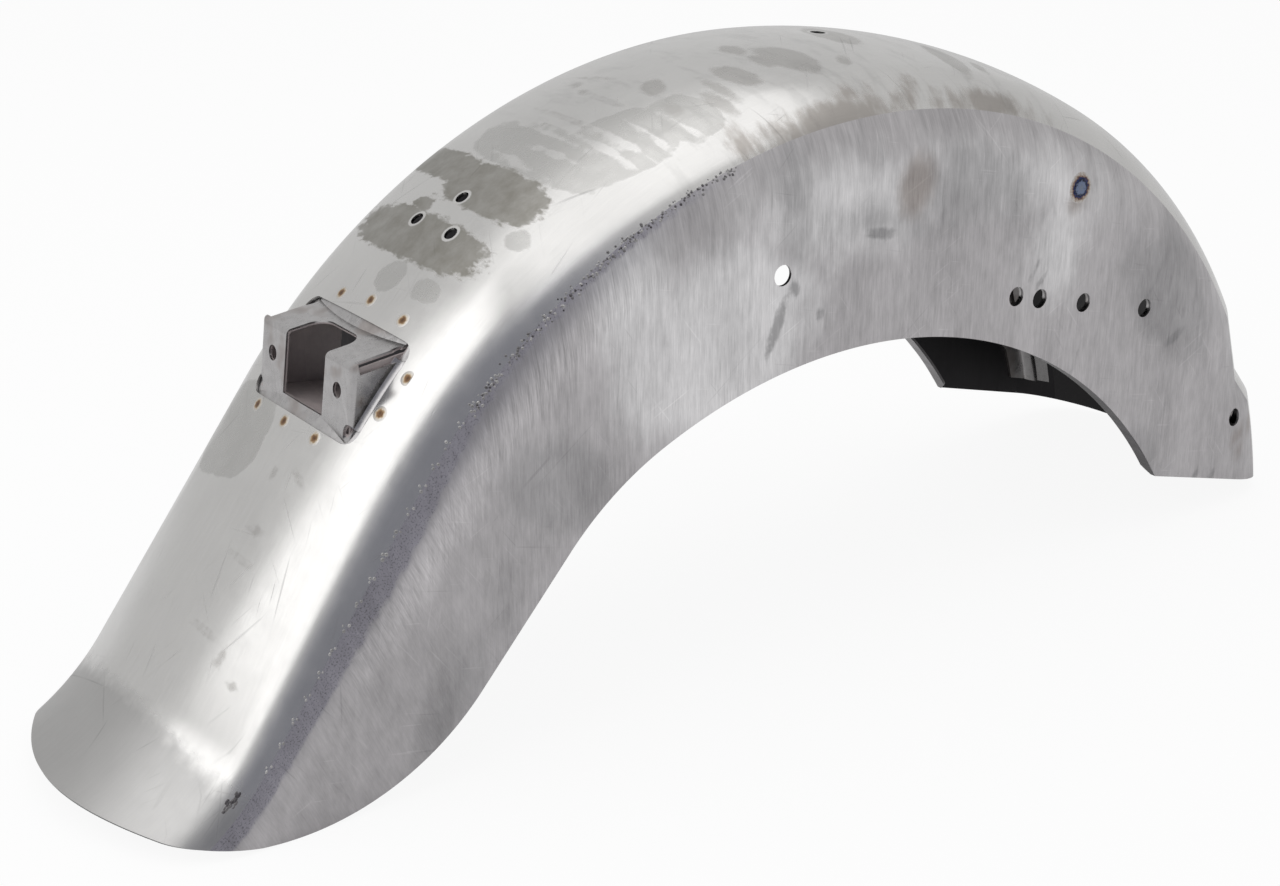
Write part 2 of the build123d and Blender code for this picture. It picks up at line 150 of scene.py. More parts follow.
@dataclass(frozen=True)
class FenderForm:
    """Sizes of the whole sheet body in millimetres, in the wheel frame, and its surface formula."""

    sheet: float = 1.6
    width: float = 180.0
    crown_r: float = 348.0
    bow_r: float = 253.0
    shoulder_r: float = 44.0
    seam_slope: float = 55.0
    recess_foot: float = 35.0
    recess_floor: float = 38.5
    recess_top: float = 46.0
    recess_depth: float = 7.0
    tail_angle: float = 158.5
    tail_plain: float = 18.0
    tail_run: float = 124.0
    tail_bow_r: float = 205.0
    tail_shoulder_r: float = 31.0
    flip_r: float = 106.0
    flip_cut: float = 32.49
    front_z: float = 139.1
    arch_x: float = 2.8
    arch_depth: float = 138.9
    arch_r: float = 282.0
    arch_end: float = 130.0
    haunch_r: float = 160.0
    haunch_end: float = 153.83
    belly_r: float = 127.5
    tail_slope: float = 4.8
    lip: float = 8.5
    light_angle: float = 154.3

    @property
    def half(self) -> float:
        """Half the width."""
        return self.width / 2

    @property
    def plain(self) -> Section:
        """Section of the arched part."""
        return Section(self.half, self.bow_r, self.shoulder_r)

    @property
    def flat(self) -> Section:
        """Flatter section at the flip of the tail."""
        return Section(self.half, self.tail_bow_r, self.tail_shoulder_r)

    @property
    def tail_foot(self) -> np.ndarray:
        """Point where the crown arc ends and the straight tail begins."""
        return self.crown_r * unit(self.tail_angle)

    @property
    def flip_c(self) -> np.ndarray:
        """Centre of the flip."""
        turn = self.tail_foot + (self.tail_plain + self.tail_run) * unit(self.tail_angle + 90)
        return turn + self.flip_r * unit(self.tail_angle)

    @property
    def tail_tip(self) -> np.ndarray:
        """Lowest point of the crown line."""
        return self.flip_c + self.flip_r * unit(self.tail_angle + 180 - self.flip_cut)

    @property
    def arch_c(self) -> np.ndarray:
        """Centre of the wheel arch."""
        return np.array([self.arch_x, self.crown_r - self.arch_depth - self.arch_r])

    @property
    def haunch_c(self) -> np.ndarray:
        """Centre of the haunch arc, on the line from the arch centre to the arch's end."""
        return self.arch_c + (self.arch_r - self.haunch_r) * unit(self.arch_end)

    @property
    def belly_c(self) -> np.ndarray:
        """Centre of the belly arc, which touches the haunch's straight run and the tail cut."""
        level = self.tail_tip + self.belly_r * unit(self.tail_slope + 90)
        gap = self.haunch_r + self.belly_r - along(level - self.haunch_c, self.haunch_end)
        shift = gap / math.cos(math.radians(self.haunch_end - self.tail_slope))
        return level + shift * unit(self.tail_slope)

    @property
    def arch_front(self) -> float:
        """Angle about the arch centre where the arch meets the front cut."""
        return math.degrees(math.asin((self.front_z - self.arch_c[1]) / self.arch_r))

    @property
    def front_tip(self) -> np.ndarray:
        """Front end of the crown line."""
        return np.array([math.sqrt(self.crown_r**2 - self.front_z**2), self.front_z])

    @property
    def rest_pitch(self) -> float:
        """Turn in radians that stands the fender on its belly arcs and its front edge."""
        stand = self.belly_c - self.front_tip
        return math.asin(self.belly_r / math.hypot(*stand)) + math.atan2(-stand[1], -stand[0])

    def tilt(self, points: np.ndarray) -> np.ndarray:
        """Side-view points or directions turned to the rest attitude."""
        cos, sin = math.cos(self.rest_pitch), math.sin(self.rest_pitch)
        return points @ np.array([[cos, -sin], [sin, cos]])

    def place(self, points: np.ndarray, side: np.ndarray) -> np.ndarray:
        """Side-view points and side distances, in millimetres, as rest-frame points in metres."""
        tip, tail = self.tilt(self.front_tip), self.tilt(self.tail_tip)
        flat = self.tilt(points) - np.array([(tip[0] + tail[0]) / 2, tip[1]])
        return MM * np.stack([flat[..., 0], np.broadcast_to(side, flat.shape[:-1]), flat[..., 1]], axis=-1)

    def run_at(self, angle: np.ndarray | float) -> np.ndarray | float:
        """Run along the crown line at an angle about the wheel centre."""
        return self.crown_r * np.radians(angle)

    @property
    def flip_run(self) -> float:
        """Run along the crown line at which the flip begins."""
        return self.run_at(self.tail_angle) + self.tail_plain + self.tail_run

    def stations(self) -> list[float]:
        """Runs at which the sheet changes: the recess, both ends of the plain tail and the flip."""
        bends = (self.recess_foot, self.recess_floor, self.recess_top, self.tail_angle)
        tail = self.run_at(self.tail_angle)
        return [*(self.run_at(angle) for angle in bends), tail + self.tail_plain, self.flip_run]

    def line(self, run: np.ndarray) -> tuple[np.ndarray, np.ndarray, np.ndarray]:
        """Crown line at given runs: its points, its outward directions and the share of the flat section.

        Runs are arc lengths about the wheel centre, with a recess whose points and directions are
        carried straight from edge to floor, then lengths down the tail, then arc lengths of the flip.
        """
        angle = np.degrees(run / self.crown_r)
        knots = (self.recess_foot, self.recess_floor, self.recess_top)
        radii = (self.crown_r, self.crown_r - self.recess_depth, self.crown_r)
        ends = np.array([r * unit(a) for r, a in zip(radii, knots)])
        in_recess = ((angle > knots[0]) & (angle < knots[2]))[..., None]
        turned = np.minimum(angle, self.tail_angle)
        dip = np.stack([np.interp(angle, knots, ends[:, i]) for i in range(2)], axis=-1)
        lean = np.stack([np.interp(angle, knots, unit(np.array(knots))[:, i]) for i in range(2)], axis=-1)
        origin = np.where(in_recess, dip, self.crown_r * unit(turned))
        way = np.where(in_recess, lean, unit(turned))
        fall = np.clip(run - self.run_at(self.tail_angle), 0.0, self.tail_plain + self.tail_run)
        origin = origin + fall[..., None] * unit(self.tail_angle + 90)
        share = np.clip((fall - self.tail_plain) / self.tail_run, 0.0, 1.0)
        turn = np.degrees((run - self.flip_run) / self.flip_r)
        in_flip = (turn > 0)[..., None]
        origin = np.where(in_flip, self.flip_c - self.flip_r * unit(self.tail_angle - turn), origin)
        way = np.where(in_flip, unit(self.tail_angle - turn), way)
        return origin, way, share

    def flat_slope(self, slope: np.ndarray) -> np.ndarray:
        """Slope on the flat section that belongs to a slope on the plain one, arc by arc."""
        knots = (0.0, self.plain.blend, self.seam_slope)
        others = (0.0, self.flat.blend, self.seam_slope)
        size = np.abs(slope)
        return np.sign(slope) * np.where(size < self.seam_slope, np.interp(size, knots, others), size)

    def surface(self, run: np.ndarray, slope: np.ndarray, inset: float | np.ndarray) -> np.ndarray:
        """Rest-frame points of the sheet: crown line + height * outward way, with the section blended.

        Args:
            run: Runs along the crown line.
            slope: Signed slopes across the section.
            inset: Depth into the sheet.

        Returns:
            Points in metres.
        """
        return self.place(*self.profile(run, slope, inset))

    def profile(
        self, run: np.ndarray, slope: np.ndarray, inset: float | np.ndarray
    ) -> tuple[np.ndarray, np.ndarray]:
        """Side-view points and side distances of skin points, in the wheel frame."""
        origin, way, share = self.line(run)
        high, side = self.plain.point(slope, inset)
        low, wide = self.flat.point(self.flat_slope(slope), inset)
        height = high + (low - high) * share
        return origin + height[..., None] * way, side + (wide - side) * share

    def front_run(self, slope: np.ndarray) -> np.ndarray:
        """Run at which the level front cut meets a slope: asin(front z / radius there)."""
        height, _ = self.plain.point(slope, 0.0)
        return self.run_at(np.degrees(np.arcsin(self.front_z / (self.crown_r + height))))

    def tail_end(self, slope: np.ndarray) -> np.ndarray:
        """Run at which the straight tail cut meets a slope within the flip."""
        height, _ = self.flat.point(self.flat_slope(slope), 0.0)
        rise = along(self.flip_c - self.tail_tip, self.tail_slope + 90)
        swing = np.degrees(np.arccos(-rise / (self.flip_r - height)))
        turn = self.tail_angle + 90 - self.tail_slope - 360 + swing
        return self.flip_run + self.flip_r * np.radians(turn)

    def skirt_depth(self, run: np.ndarray) -> np.ndarray:
        """Depth of the skirt from the end of the shoulder down to the lower edge, at given runs.

        A ray goes from the shoulder's end towards the wheel; the nearest hit counts, on the front
        cut, arch, haunch, straight run, belly or tail cut.
        """
        origin, way, share = self.line(run)
        high, _ = self.plain.point(np.array(90.0), 0.0)
        low, _ = self.flat.point(np.array(90.0), 0.0)
        start = origin + (high + (low - high) * share)[..., None] * way
        ray = -way / np.linalg.norm(way, axis=-1, keepdims=True)
        haunch_tip = self.haunch_c + self.haunch_r * unit(self.haunch_end)
        belly_tip = self.belly_c + self.belly_r * unit(self.tail_slope + 270)

        def level(point: np.ndarray, normal: float) -> np.ndarray:
            """Distance along each ray to a straight edge."""
            return along(point - start, normal) / (ray @ unit(normal))

        def bow(centre: np.ndarray, radius: float, side: int, first: float, last: float) -> np.ndarray:
            """Distance along each ray to an arc between two angles, on its near or far side."""
            gap = start - centre
            mid = np.sum(gap * ray, axis=-1)
            room = mid**2 - np.sum(gap * gap, axis=-1) + radius**2
            reach = -mid + side * np.sqrt(np.maximum(room, 0.0))
            hit = gap + reach[..., None] * ray
            turn = np.degrees(np.arctan2(hit[..., 1], hit[..., 0])) % 360
            return np.where((room > 0) & (turn >= first) & (turn <= last), reach, np.inf)

        front = level(self.front_tip, 90.0)
        corner = self.arch_c[0] + self.arch_r * math.cos(math.radians(self.arch_front))
        front = np.where((start + front[..., None] * ray)[..., 0] >= corner, front, np.inf)
        straight = level(haunch_tip, self.haunch_end)
        foot = start + straight[..., None] * ray
        fall = along(foot - haunch_tip, self.haunch_end + 90)
        length = along(self.belly_c - self.haunch_c, self.haunch_end + 90)
        straight = np.where((fall >= 0) & (fall <= length), straight, np.inf)
        cut = level(self.tail_tip, self.tail_slope + 90)
        foot = start + cut[..., None] * ray
        cut = np.where(along(foot - belly_tip, self.tail_slope) <= 0, cut, np.inf)
        arch = bow(self.arch_c, self.arch_r, -1, self.arch_front, self.arch_end)
        haunch = bow(self.haunch_c, self.haunch_r, -1, self.arch_end, self.haunch_end)
        belly = bow(self.belly_c, self.belly_r, 1, self.tail_slope + 270, self.haunch_end + 180)
        hits = np.stack([front, arch, haunch, straight, belly, cut])
        nearest = np.min(np.where(hits > -1e-6, hits, np.inf), axis=0)
        return np.where(np.isfinite(nearest), np.maximum(nearest, 0.0), 0.0)

    def corner_run(self) -> float:
        """Run whose ray passes through the corner between the front cut and the arch."""
        runs = np.linspace(self.front_run(np.array(90.0)), self.run_at(self.recess_top), 400)
        origin, way, _ = self.line(runs)
        corner = self.arch_c + self.arch_r * unit(self.arch_front)
        gap = corner - origin
        return float(np.interp(0.0, way[:, 1] * gap[:, 0] - way[:, 0] * gap[:, 1], runs))


FORM = FenderForm()


@dataclass(frozen=True)
class CrownMap:
    """Flat plane that touches the crown at an angle: local a runs to the left, b to the tail."""

    angle: float

    def flatten(self, run: np.ndarray, slope: np.ndarray) -> tuple[np.ndarray, np.ndarray]:
        """Plane coordinates of skin points: the side distance, and r sin(turn) plus the straight tail."""
        height, side = FORM.plain.point(slope, 0.0)
        turn = np.minimum(np.degrees(run / FORM.crown_r), FORM.tail_angle) - self.angle
        fall = np.maximum(run - FORM.run_at(FORM.tail_angle), 0.0)
        way = np.radians(turn)
        return side, (FORM.crown_r + height) * np.sin(way) + fall * np.cos(way)

    def wrap(self, a: np.ndarray, b: np.ndarray) -> tuple[np.ndarray, np.ndarray]:
        """Run and slope of the skin point over a plane point: the inverse of flatten."""
        slope = np.degrees(np.arcsin(a / FORM.bow_r))
        height, _ = FORM.plain.point(slope, 0.0)
        radius = FORM.crown_r + height
        last = math.radians(FORM.tail_angle - self.angle)
        turn = np.arcsin(np.minimum(b / radius, math.sin(last)))
        fall = np.maximum(b - radius * math.sin(last), 0.0) / math.cos(last)
        return FORM.crown_r * (math.radians(self.angle) + turn) + fall, slope


@dataclass(frozen=True)
class SkirtMap:
    """Side view about a point of a skirt: local a runs outward from the wheel, b to the tail."""

    hand: Hand
    x: float
    z: float

    @property
    def angle(self) -> float:
        """Angle of the point about the wheel centre."""
        return math.degrees(math.atan2(self.z, self.x))

    def flatten(self, run: np.ndarray, slope: np.ndarray) -> tuple[np.ndarray, np.ndarray]:
        """Local coordinates of skin points: their side-view points, turned to the local axes."""
        origin, way, _ = FORM.line(run)
        height, _ = FORM.plain.point(slope, 0.0)
        gap = origin + height[..., None] * way - np.array([self.x, self.z])
        return along(gap, self.angle), along(gap, self.angle + 90)

    def wrap(self, a: np.ndarray, b: np.ndarray) -> tuple[np.ndarray, np.ndarray]:
        """Run and slope of the skin point at local coordinates, found by a few corrections."""
        goal = np.array([self.x, self.z]) + a[..., None] * unit(self.angle)
        goal = goal + b[..., None] * unit(self.angle + 90)
        run = FORM.crown_r * np.arctan2(goal[..., 1], goal[..., 0])
        for _ in range(6):
            origin, way, _ = FORM.line(run)
            height = np.sum((goal - origin) * way, axis=-1)
            miss = goal - origin - height[..., None] * way
            turn = np.stack([-way[..., 1], way[..., 0]], axis=-1)
            run = run + np.sum(miss * turn, axis=-1) * FORM.crown_r / (FORM.crown_r + height)
        rise = np.clip((height + FORM.plain.drop) / FORM.shoulder_r, 0.0, 1.0)
        depth = np.maximum(-FORM.plain.drop - height, 0.0)
        return run, self.hand.value * (np.degrees(np.arccos(rise)) + depth)


@dataclass(frozen=True)
class Punch:
    """Round or rounded opening on a plane: its centre, half sizes and corner radius."""

    plane: CrownMap | SkirtMap
    half_a: float
    half_b: float
    corner: float
    a: float = 0.0
    b: float = 0.0
    margin: float = 4.0
    rings: int = 3

    def outline(self, a: np.ndarray, b: np.ndarray) -> tuple[np.ndarray, np.ndarray]:
        """Outline point met on the way from the centre to each given point.

        The point is scaled onto the sharp rectangle, and near a corner it is pulled onto the corner arc.
        """
        scale = np.maximum(np.abs(a) / self.half_a, np.abs(b) / self.half_b)
        a, b = a / scale, b / scale
        over_a = np.abs(a) - (self.half_a - self.corner)
        over_b = np.abs(b) - (self.half_b - self.corner)
        bend = (over_a > 0) & (over_b > 0)
        pull = np.where(bend, self.corner / np.maximum(np.hypot(over_a, over_b), 1e-9), 1.0)
        round_a = np.sign(a) * (self.half_a - self.corner + over_a * pull)
        round_b = np.sign(b) * (self.half_b - self.corner + over_b * pull)
        return np.where(bend, round_a, a), np.where(bend, round_b, b)


class Skin:
    """Grid of runs and slopes on the sheet, with openings punched through it."""

    def __init__(self, run: np.ndarray, slope: np.ndarray) -> None:
        """Start from grids of runs (rows) and slopes (columns) of the same shape."""
        self.shape = run.shape
        self.run = run.ravel()
        self.slope = slope.ravel()
        self.index = np.arange(run.size).reshape(run.shape)
        self.cells = cells(self.index)
        self.kept = np.ones(self.cells.shape[:2], dtype=bool)
        self.fills: list[np.ndarray] = []

    def punch(self, hole: Punch) -> None:
        """Cut a block of cells away and fill it with rings that run into the opening's outline.

        Ring points are (1 - f) * block edge + f * outline on the hole's plane, wrapped back to the skin.
        """
        grid_run = self.run[: self.index.size].reshape(self.shape)
        grid_slope = self.slope[: self.index.size].reshape(self.shape)
        a, b = hole.plane.flatten(grid_run, grid_slope)
        a, b = a - hole.a, b - hole.b
        inside = (np.abs(a) < hole.half_a + hole.margin) & (np.abs(b) < hole.half_b + hole.margin)
        rows, cols = np.nonzero(inside.any(axis=1))[0], np.nonzero(inside.any(axis=0))[0]
        r0, r1, c0, c1 = rows[0], rows[-1], cols[0], cols[-1]
        self.kept[r0:r1, c0:c1] = False
        edge = border(self.index[r0 : r1 + 1, c0 : c1 + 1])
        edge_a, edge_b = a.ravel()[edge], b.ravel()[edge]
        rim_a, rim_b = hole.outline(edge_a, edge_b)
        before = edge
        for step in range(1, hole.rings + 1):
            f = step / hole.rings
            run, slope = hole.plane.wrap(
                hole.a + edge_a + f * (rim_a - edge_a), hole.b + edge_b + f * (rim_b - edge_b)
            )
            ring = self.run.size + np.arange(edge.size)
            self.run = np.concatenate([self.run, run])
            self.slope = np.concatenate([self.slope, slope])
            self.fills.append(np.stack([before, np.roll(before, -1), np.roll(ring, -1), ring], axis=-1))
            before = ring

    def quads(self) -> np.ndarray:
        """Faces of the outer side, outward."""
        return np.concatenate([self.cells[self.kept], *self.fills])


@dataclass
class MeshData:
    """Points, faces, a flat map and point values of one piece before it becomes a mesh."""

    points: np.ndarray
    faces: np.ndarray
    flat: np.ndarray
    values: dict[str, np.ndarray] = field(default_factory=dict)

    def joined(self, other: "MeshData") -> "MeshData":
        """This piece and another as one; values missing from the other say that it has no mark."""
        blank = np.full(len(other.points), NO_MARK)
        values = {
            name: np.concatenate([value, other.values.get(name, blank)])
            for name, value in self.values.items()
        }
        return MeshData(
            np.concatenate([self.points, other.points]),
            np.concatenate([self.faces, other.faces + len(self.points)]),
            np.concatenate([self.flat, other.flat]),
            values,
        )

    def toned(self, temper: float, soot: float) -> "MeshData":
        """This piece with an even heat tint and soot at all its points."""
        count = len(self.points)
        self.values.update(temper=np.full(count, temper), soot=np.full(count, soot))
        return self

    def piece(self, name: str) -> bpy.types.Object:
        """Make the Blender object, with smooth faces, sharp folds and merged end points."""
        mesh = bpy.data.meshes.new(name)
        mesh.from_pydata(self.points, [], self.faces.tolist())
        layer = mesh.uv_layers.new(name="sheet")
        corners = np.empty(len(mesh.loops), dtype=np.int32)
        mesh.loops.foreach_get("vertex_index", corners)
        layer.data.foreach_set("uv", self.flat[corners].astype(np.float32).ravel())
        for key, value in self.values.items():
            attribute = mesh.attributes.new(key, "FLOAT", "POINT")
            attribute.data.foreach_set("value", value.astype(np.float32))
        work = bmesh.new()
        work.from_mesh(mesh)
        bmesh.ops.remove_doubles(work, verts=work.verts, dist=MM * 0.01)
        work.to_mesh(mesh)
        work.free()
        mesh.polygons.foreach_set("use_smooth", np.ones(len(mesh.polygons), dtype=bool))
        mesh.set_sharp_from_angle(angle=SHARP_ANGLE)
        piece = bpy.data.objects.new(name, mesh)
        bpy.context.scene.collection.objects.link(piece)
        return piece


def closed_sheet(skin: Skin, marks: dict[str, np.ndarray]) -> MeshData:
    """Give a skin its thickness: outer side, inner side and a rim along every open edge.

    An edge is open if no face runs along it the other way round. Marks lie on the outer side alone.

    Args:
        skin: Runs, slopes and faces of the outer side.
        marks: Depths inside each kind of mark, by name, for every skin point.

    Returns:
        The closed sheet.
    """
    outer = FORM.surface(skin.run, skin.slope, 0.0)
    inner = FORM.surface(skin.run, skin.slope, FORM.sheet)
    quads = skin.quads()
    count = len(outer)
    first, last = quads.ravel(), np.roll(quads, -1, axis=1).ravel()
    open_edge = ~np.isin(first * count + last, last * count + first)
    first, last = first[open_edge], last[open_edge]
    rim = np.stack([last, first, first + count, last + count], axis=-1)
    flat = MM * np.stack([skin.run, FORM.plain.across(skin.slope)], axis=-1)
    return MeshData(
        np.concatenate([outer, inner]),
        np.concatenate([quads, quads[:, ::-1] + count, rim]),
        np.concatenate([flat, flat]),
        {
            **{name: np.concatenate([depth, np.full(count, NO_MARK)]) for name, depth in marks.items()},
            # The inner side is marked 1; these faces get the near-black painted shade.
            "inner": np.repeat([0.0, 1.0], count),
        },
    )


def stage_rows(first: np.ndarray, knots: list[float], last: np.ndarray, pitch: float) -> np.ndarray:
    """Rows of runs from one edge to another with a row on every knot.

    Args:
        first: Run at the front edge, for each column.
        knots: Runs between the edges that get a row of their own.
        last: Run at the tail edge, for each column.
        pitch: Longest step between rows.

    Returns:
        Runs with one row per step and one column per slope.
    """
    marks = [first, *(np.full_like(first, knot) for knot in knots), last]
    rows = [first[None]]
    for start, end in zip(marks[:-1], marks[1:]):
        count = max(2, math.ceil(float(np.max(end - start)) / pitch))
        share = np.linspace(0.0, 1.0, count + 1)[1:, None]
        rows.append(start + (end - start) * share)
    return np.concatenate(rows)


def set_piece(piece: bpy.types.Object, slot: Slot, material: bpy.types.Material, *nodes: str) -> None:
    """Give a new piece its finish and its body, hide the solids that it stands for, and log it."""
    piece.data.materials.append(material)
    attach(piece, BODY)
    if nodes:
        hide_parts(*nodes)
    LOG.info("%s: %d faces, for %s", piece.name, len(piece.data.polygons), ", ".join(nodes) or "itself")


@dataclass(frozen=True)
class Mark:
    """Rounded mark on a flat map, in millimetres: middle, half sizes, turn in degrees and squareness."""

    u: float
    v: float
    half_u: float
    half_v: float
    turn: float = 0.0
    square: float = 2.0

    def depth(self, u: np.ndarray, v: np.ndarray) -> np.ndarray:
        """Depth inside the mark: (1 - |(p / half_u, q / half_v)|) times the smaller half size.

        p and q are the distances from the middle along the turned axes, and the bars are a norm whose
        power is the squareness.
        """
        cos, sin = math.cos(math.radians(self.turn)), math.sin(math.radians(self.turn))
        p = (u - self.u) * cos + (v - self.v) * sin
        q = (v - self.v) * cos - (u - self.u) * sin
        power = self.square
        away = (np.abs(p / self.half_u) ** power + np.abs(q / self.half_v) ** power) ** (1 / power)
        return (1.0 - away) * min(self.half_u, self.half_v)


def deepest(marks: tuple[Mark, ...], u: np.ndarray, v: np.ndarray) -> np.ndarray:
    """Greatest depth over several marks, at least NO_MARK."""
    return np.maximum(np.max([mark.depth(u, v) for mark in marks], axis=0), NO_MARK)


def crown_mark(angle: float, across: float, half_run: float, half_across: float, *form: float) -> Mark:
    """Mark on the crown, placed by an angle along the crown line and a length across it."""
    return Mark(float(FORM.run_at(angle)), across, half_run, half_across, *form)


@dataclass(frozen=True)
class CrownMarks:
    """Stains, dried films and smears on the crown, as the photograph shows them."""

    stains: tuple[Mark, ...] = (
        crown_mark(142.0, 7.0, 13.5, 53.0, 0.0, 3.0),
        crown_mark(135.9, -14.0, 14.5, 36.0, 0.0, 3.0),
        crown_mark(134.8, 42.0, 9.5, 42.0, 4.0, 3.0),
        crown_mark(139.2, 22.0, 5.0, 8.0),
    )
    films: tuple[Mark, ...] = (
        crown_mark(130.7, -12.0, 17.0, 50.0, 0.0, 3.0),
        crown_mark(126.6, -43.0, 27.0, 25.0, 10.0, 2.6),
        crown_mark(121.0, -50.0, 15.0, 20.0, 0.0, 3.0),
        crown_mark(162.0, 40.0, 25.0, 30.0, -12.0, 3.0),
        crown_mark(145.7, -30.0, 6.0, 10.0),
        crown_mark(145.9, -2.0, 9.0, 9.0),
        crown_mark(138.6, -52.0, 6.0, 8.0),
    )
    fingers: tuple[Mark, ...] = (
        crown_mark(132.6, -8.0, 1.9, 22.0, 3.0),
        crown_mark(130.5, -22.0, 2.0, 20.0, -3.0),
        crown_mark(128.7, 4.0, 1.8, 30.0, 3.0),
        crown_mark(127.9, -34.0, 1.6, 12.0, -6.0),
        crown_mark(127.9, -40.0, 2.6, 24.0, 3.0),
        crown_mark(126.6, -36.0, 2.4, 30.0, -2.0),
        crown_mark(124.6, -52.0, 1.7, 20.0, 4.0),
        crown_mark(121.9, -60.0, 1.5, 16.0, -5.0),
    )
    ovals: tuple[Mark, ...] = (
        crown_mark(119.7, -16.5, 6.0, 9.5, 28.0),
        crown_mark(121.1, -41.5, 3.6, 8.5, 8.0),
        crown_mark(117.9, -52.7, 4.6, 13.0),
        crown_mark(116.5, -42.7, 3.0, 15.0),
        crown_mark(113.9, -36.5, 7.5, 15.0, -8.0),
        crown_mark(108.2, -34.0, 11.0, 21.0, -6.0),
        crown_mark(110.3, -30.0, 5.0, 10.0),
        crown_mark(104.1, -47.7, 3.5, 6.5, 30.0),
        crown_mark(110.5, -7.7, 5.0, 9.5),
        crown_mark(99.9, -7.5, 11.0, 21.0),
        crown_mark(91.7, -43.0, 8.0, 24.0, 12.0),
        crown_mark(88.8, -50.0, 4.0, 9.0, 20.0),
        crown_mark(126.7, -5.0, 1.2, 19.0, 2.0),
        crown_mark(123.2, 3.5, 1.1, 15.0),
        crown_mark(123.1, 15.0, 2.4, 3.4),
        crown_mark(122.2, 27.5, 2.4, 4.4),
        crown_mark(120.8, 27.0, 1.2, 10.0, -10.0),
        crown_mark(162.6, -27.0, 1.7, 4.6, 26.0),
        crown_mark(163.2, -10.0, 2.8, 2.0),
        crown_mark(178.0, -45.0, 1.6, 3.0),
        crown_mark(176.8, -33.0, 5.0, 1.8, 10.0),
        crown_mark(175.8, -18.0, 1.3, 6.0),
        crown_mark(170.0, -19.0, 1.1, 5.0),
        crown_mark(167.6, -18.0, 1.8, 5.0),
    )
    smears: tuple[Mark, ...] = (
        crown_mark(110.5, -86.0, 42.0, 9.0, 0.0, 3.0),
        crown_mark(107.3, -74.5, 8.0, 4.0, 8.0),
        crown_mark(100.9, -80.0, 5.0, 10.0, 24.0),
        crown_mark(119.4, -80.0, 4.0, 7.0),
        crown_mark(92.0, -84.0, 30.0, 7.0),
    )

    def depths(self, run: np.ndarray, slope: np.ndarray) -> dict[str, np.ndarray]:
        """Depth inside each kind of mark at skin points; fingers wipe the film away."""
        across = FORM.plain.across(slope)
        film = np.minimum(deepest(self.films, run, across), -deepest(self.fingers, run, across))
        return {
            "stain": deepest(self.stains, run, across),
            "film": film,
            "oval": deepest(self.ovals, run, across),
            "smear": deepest(self.smears, run, across),
        }


@dataclass(frozen=True)
class SkirtMarks:
    """Smudges, patches of painted sheen, drips and rust on the right skirt, in the wheel's side view."""

    smudges: tuple[Mark, ...] = (
        Mark(-235.0, 124.0, 34.0, 22.0, -12.0),
        Mark(-76.0, 263.0, 32.0, 7.0, 9.0),
        Mark(160.0, 245.0, 50.0, 26.0, -38.0),
        Mark(-265.0, 20.0, 12.0, 40.0, -14.0),
        Mark(-130.0, 262.0, 8.0, 26.0, 16.0),
        Mark(-20.0, 285.0, 40.0, 18.0),
        Mark(175.0, 150.0, 18.0, 10.0, -40.0),
        Mark(262.0, 206.0, 46.0, 18.0, -50.0),
    )
    # Painted sheen: patches where the skirt's colour is made lighter.
    painted_sheens: tuple[Mark, ...] = (
        Mark(-160.0, 196.0, 60.0, 46.0, 30.0),
        Mark(-205.0, 205.0, 26.0, 34.0, 30.0),
        Mark(55.0, 262.0, 22.0, 30.0),
        Mark(-100.0, 268.0, 60.0, 24.0, 12.0),
        Mark(20.0, 295.0, 60.0, 16.0),
    )
    drips: tuple[Mark, ...] = (
        Mark(-126.0, 206.0, 3.2, 15.0, -6.0),
        Mark(-120.5, 225.5, 2.6, 4.6, 34.0),
        Mark(-14.0, 196.0, 1.4, 11.0, -8.0),
        Mark(171.0, 221.0, 8.5, 3.0, 42.0),
        Mark(43.0, 248.0, 1.3, 6.0, -20.0),
        Mark(50.0, 243.0, 1.3, 5.0, -28.0),
        Mark(141.0, 249.0, 1.4, 7.0, -18.0),
        Mark(92.0, 190.0, 1.0, 16.0, -6.0),
        Mark(-100.0, 214.0, 2.2, 3.0),
        Mark(-72.0, 257.0, 9.0, 3.0, 6.0),
        Mark(225.0, 141.0, 2.0, 4.0, -20.0),
        Mark(240.0, 141.0, 2.0, 3.4, -14.0),
    )
    rusts: tuple[Mark, ...] = (
        Mark(-57.0, 283.0, 12.0, 15.0),
        Mark(255.7, 166.6, 3.4, 5.0, -30.0),
        Mark(259.9, 157.5, 2.4, 3.4),
        Mark(269.0, 175.0, 2.4, 4.6, -20.0),
        Mark(61.5, 288.0, 6.0, 7.0),
    )

    def depths(self, run: np.ndarray, slope: np.ndarray, hand: Hand) -> dict[str, np.ndarray]:
        """Depth inside each kind of mark at skin points; the left skirt has none."""
        points, _ = FORM.profile(run, slope, 0.0)
        kinds = {"smudge": self.smudges, "painted_sheen": self.painted_sheens, "drip": self.drips, "rust": self.rusts}
        if hand is Hand.LEFT:
            return {name: np.full(run.shape, NO_MARK) for name in kinds}
        return {name: deepest(marks, points[..., 0], points[..., 1]) for name, marks in kinds.items()}


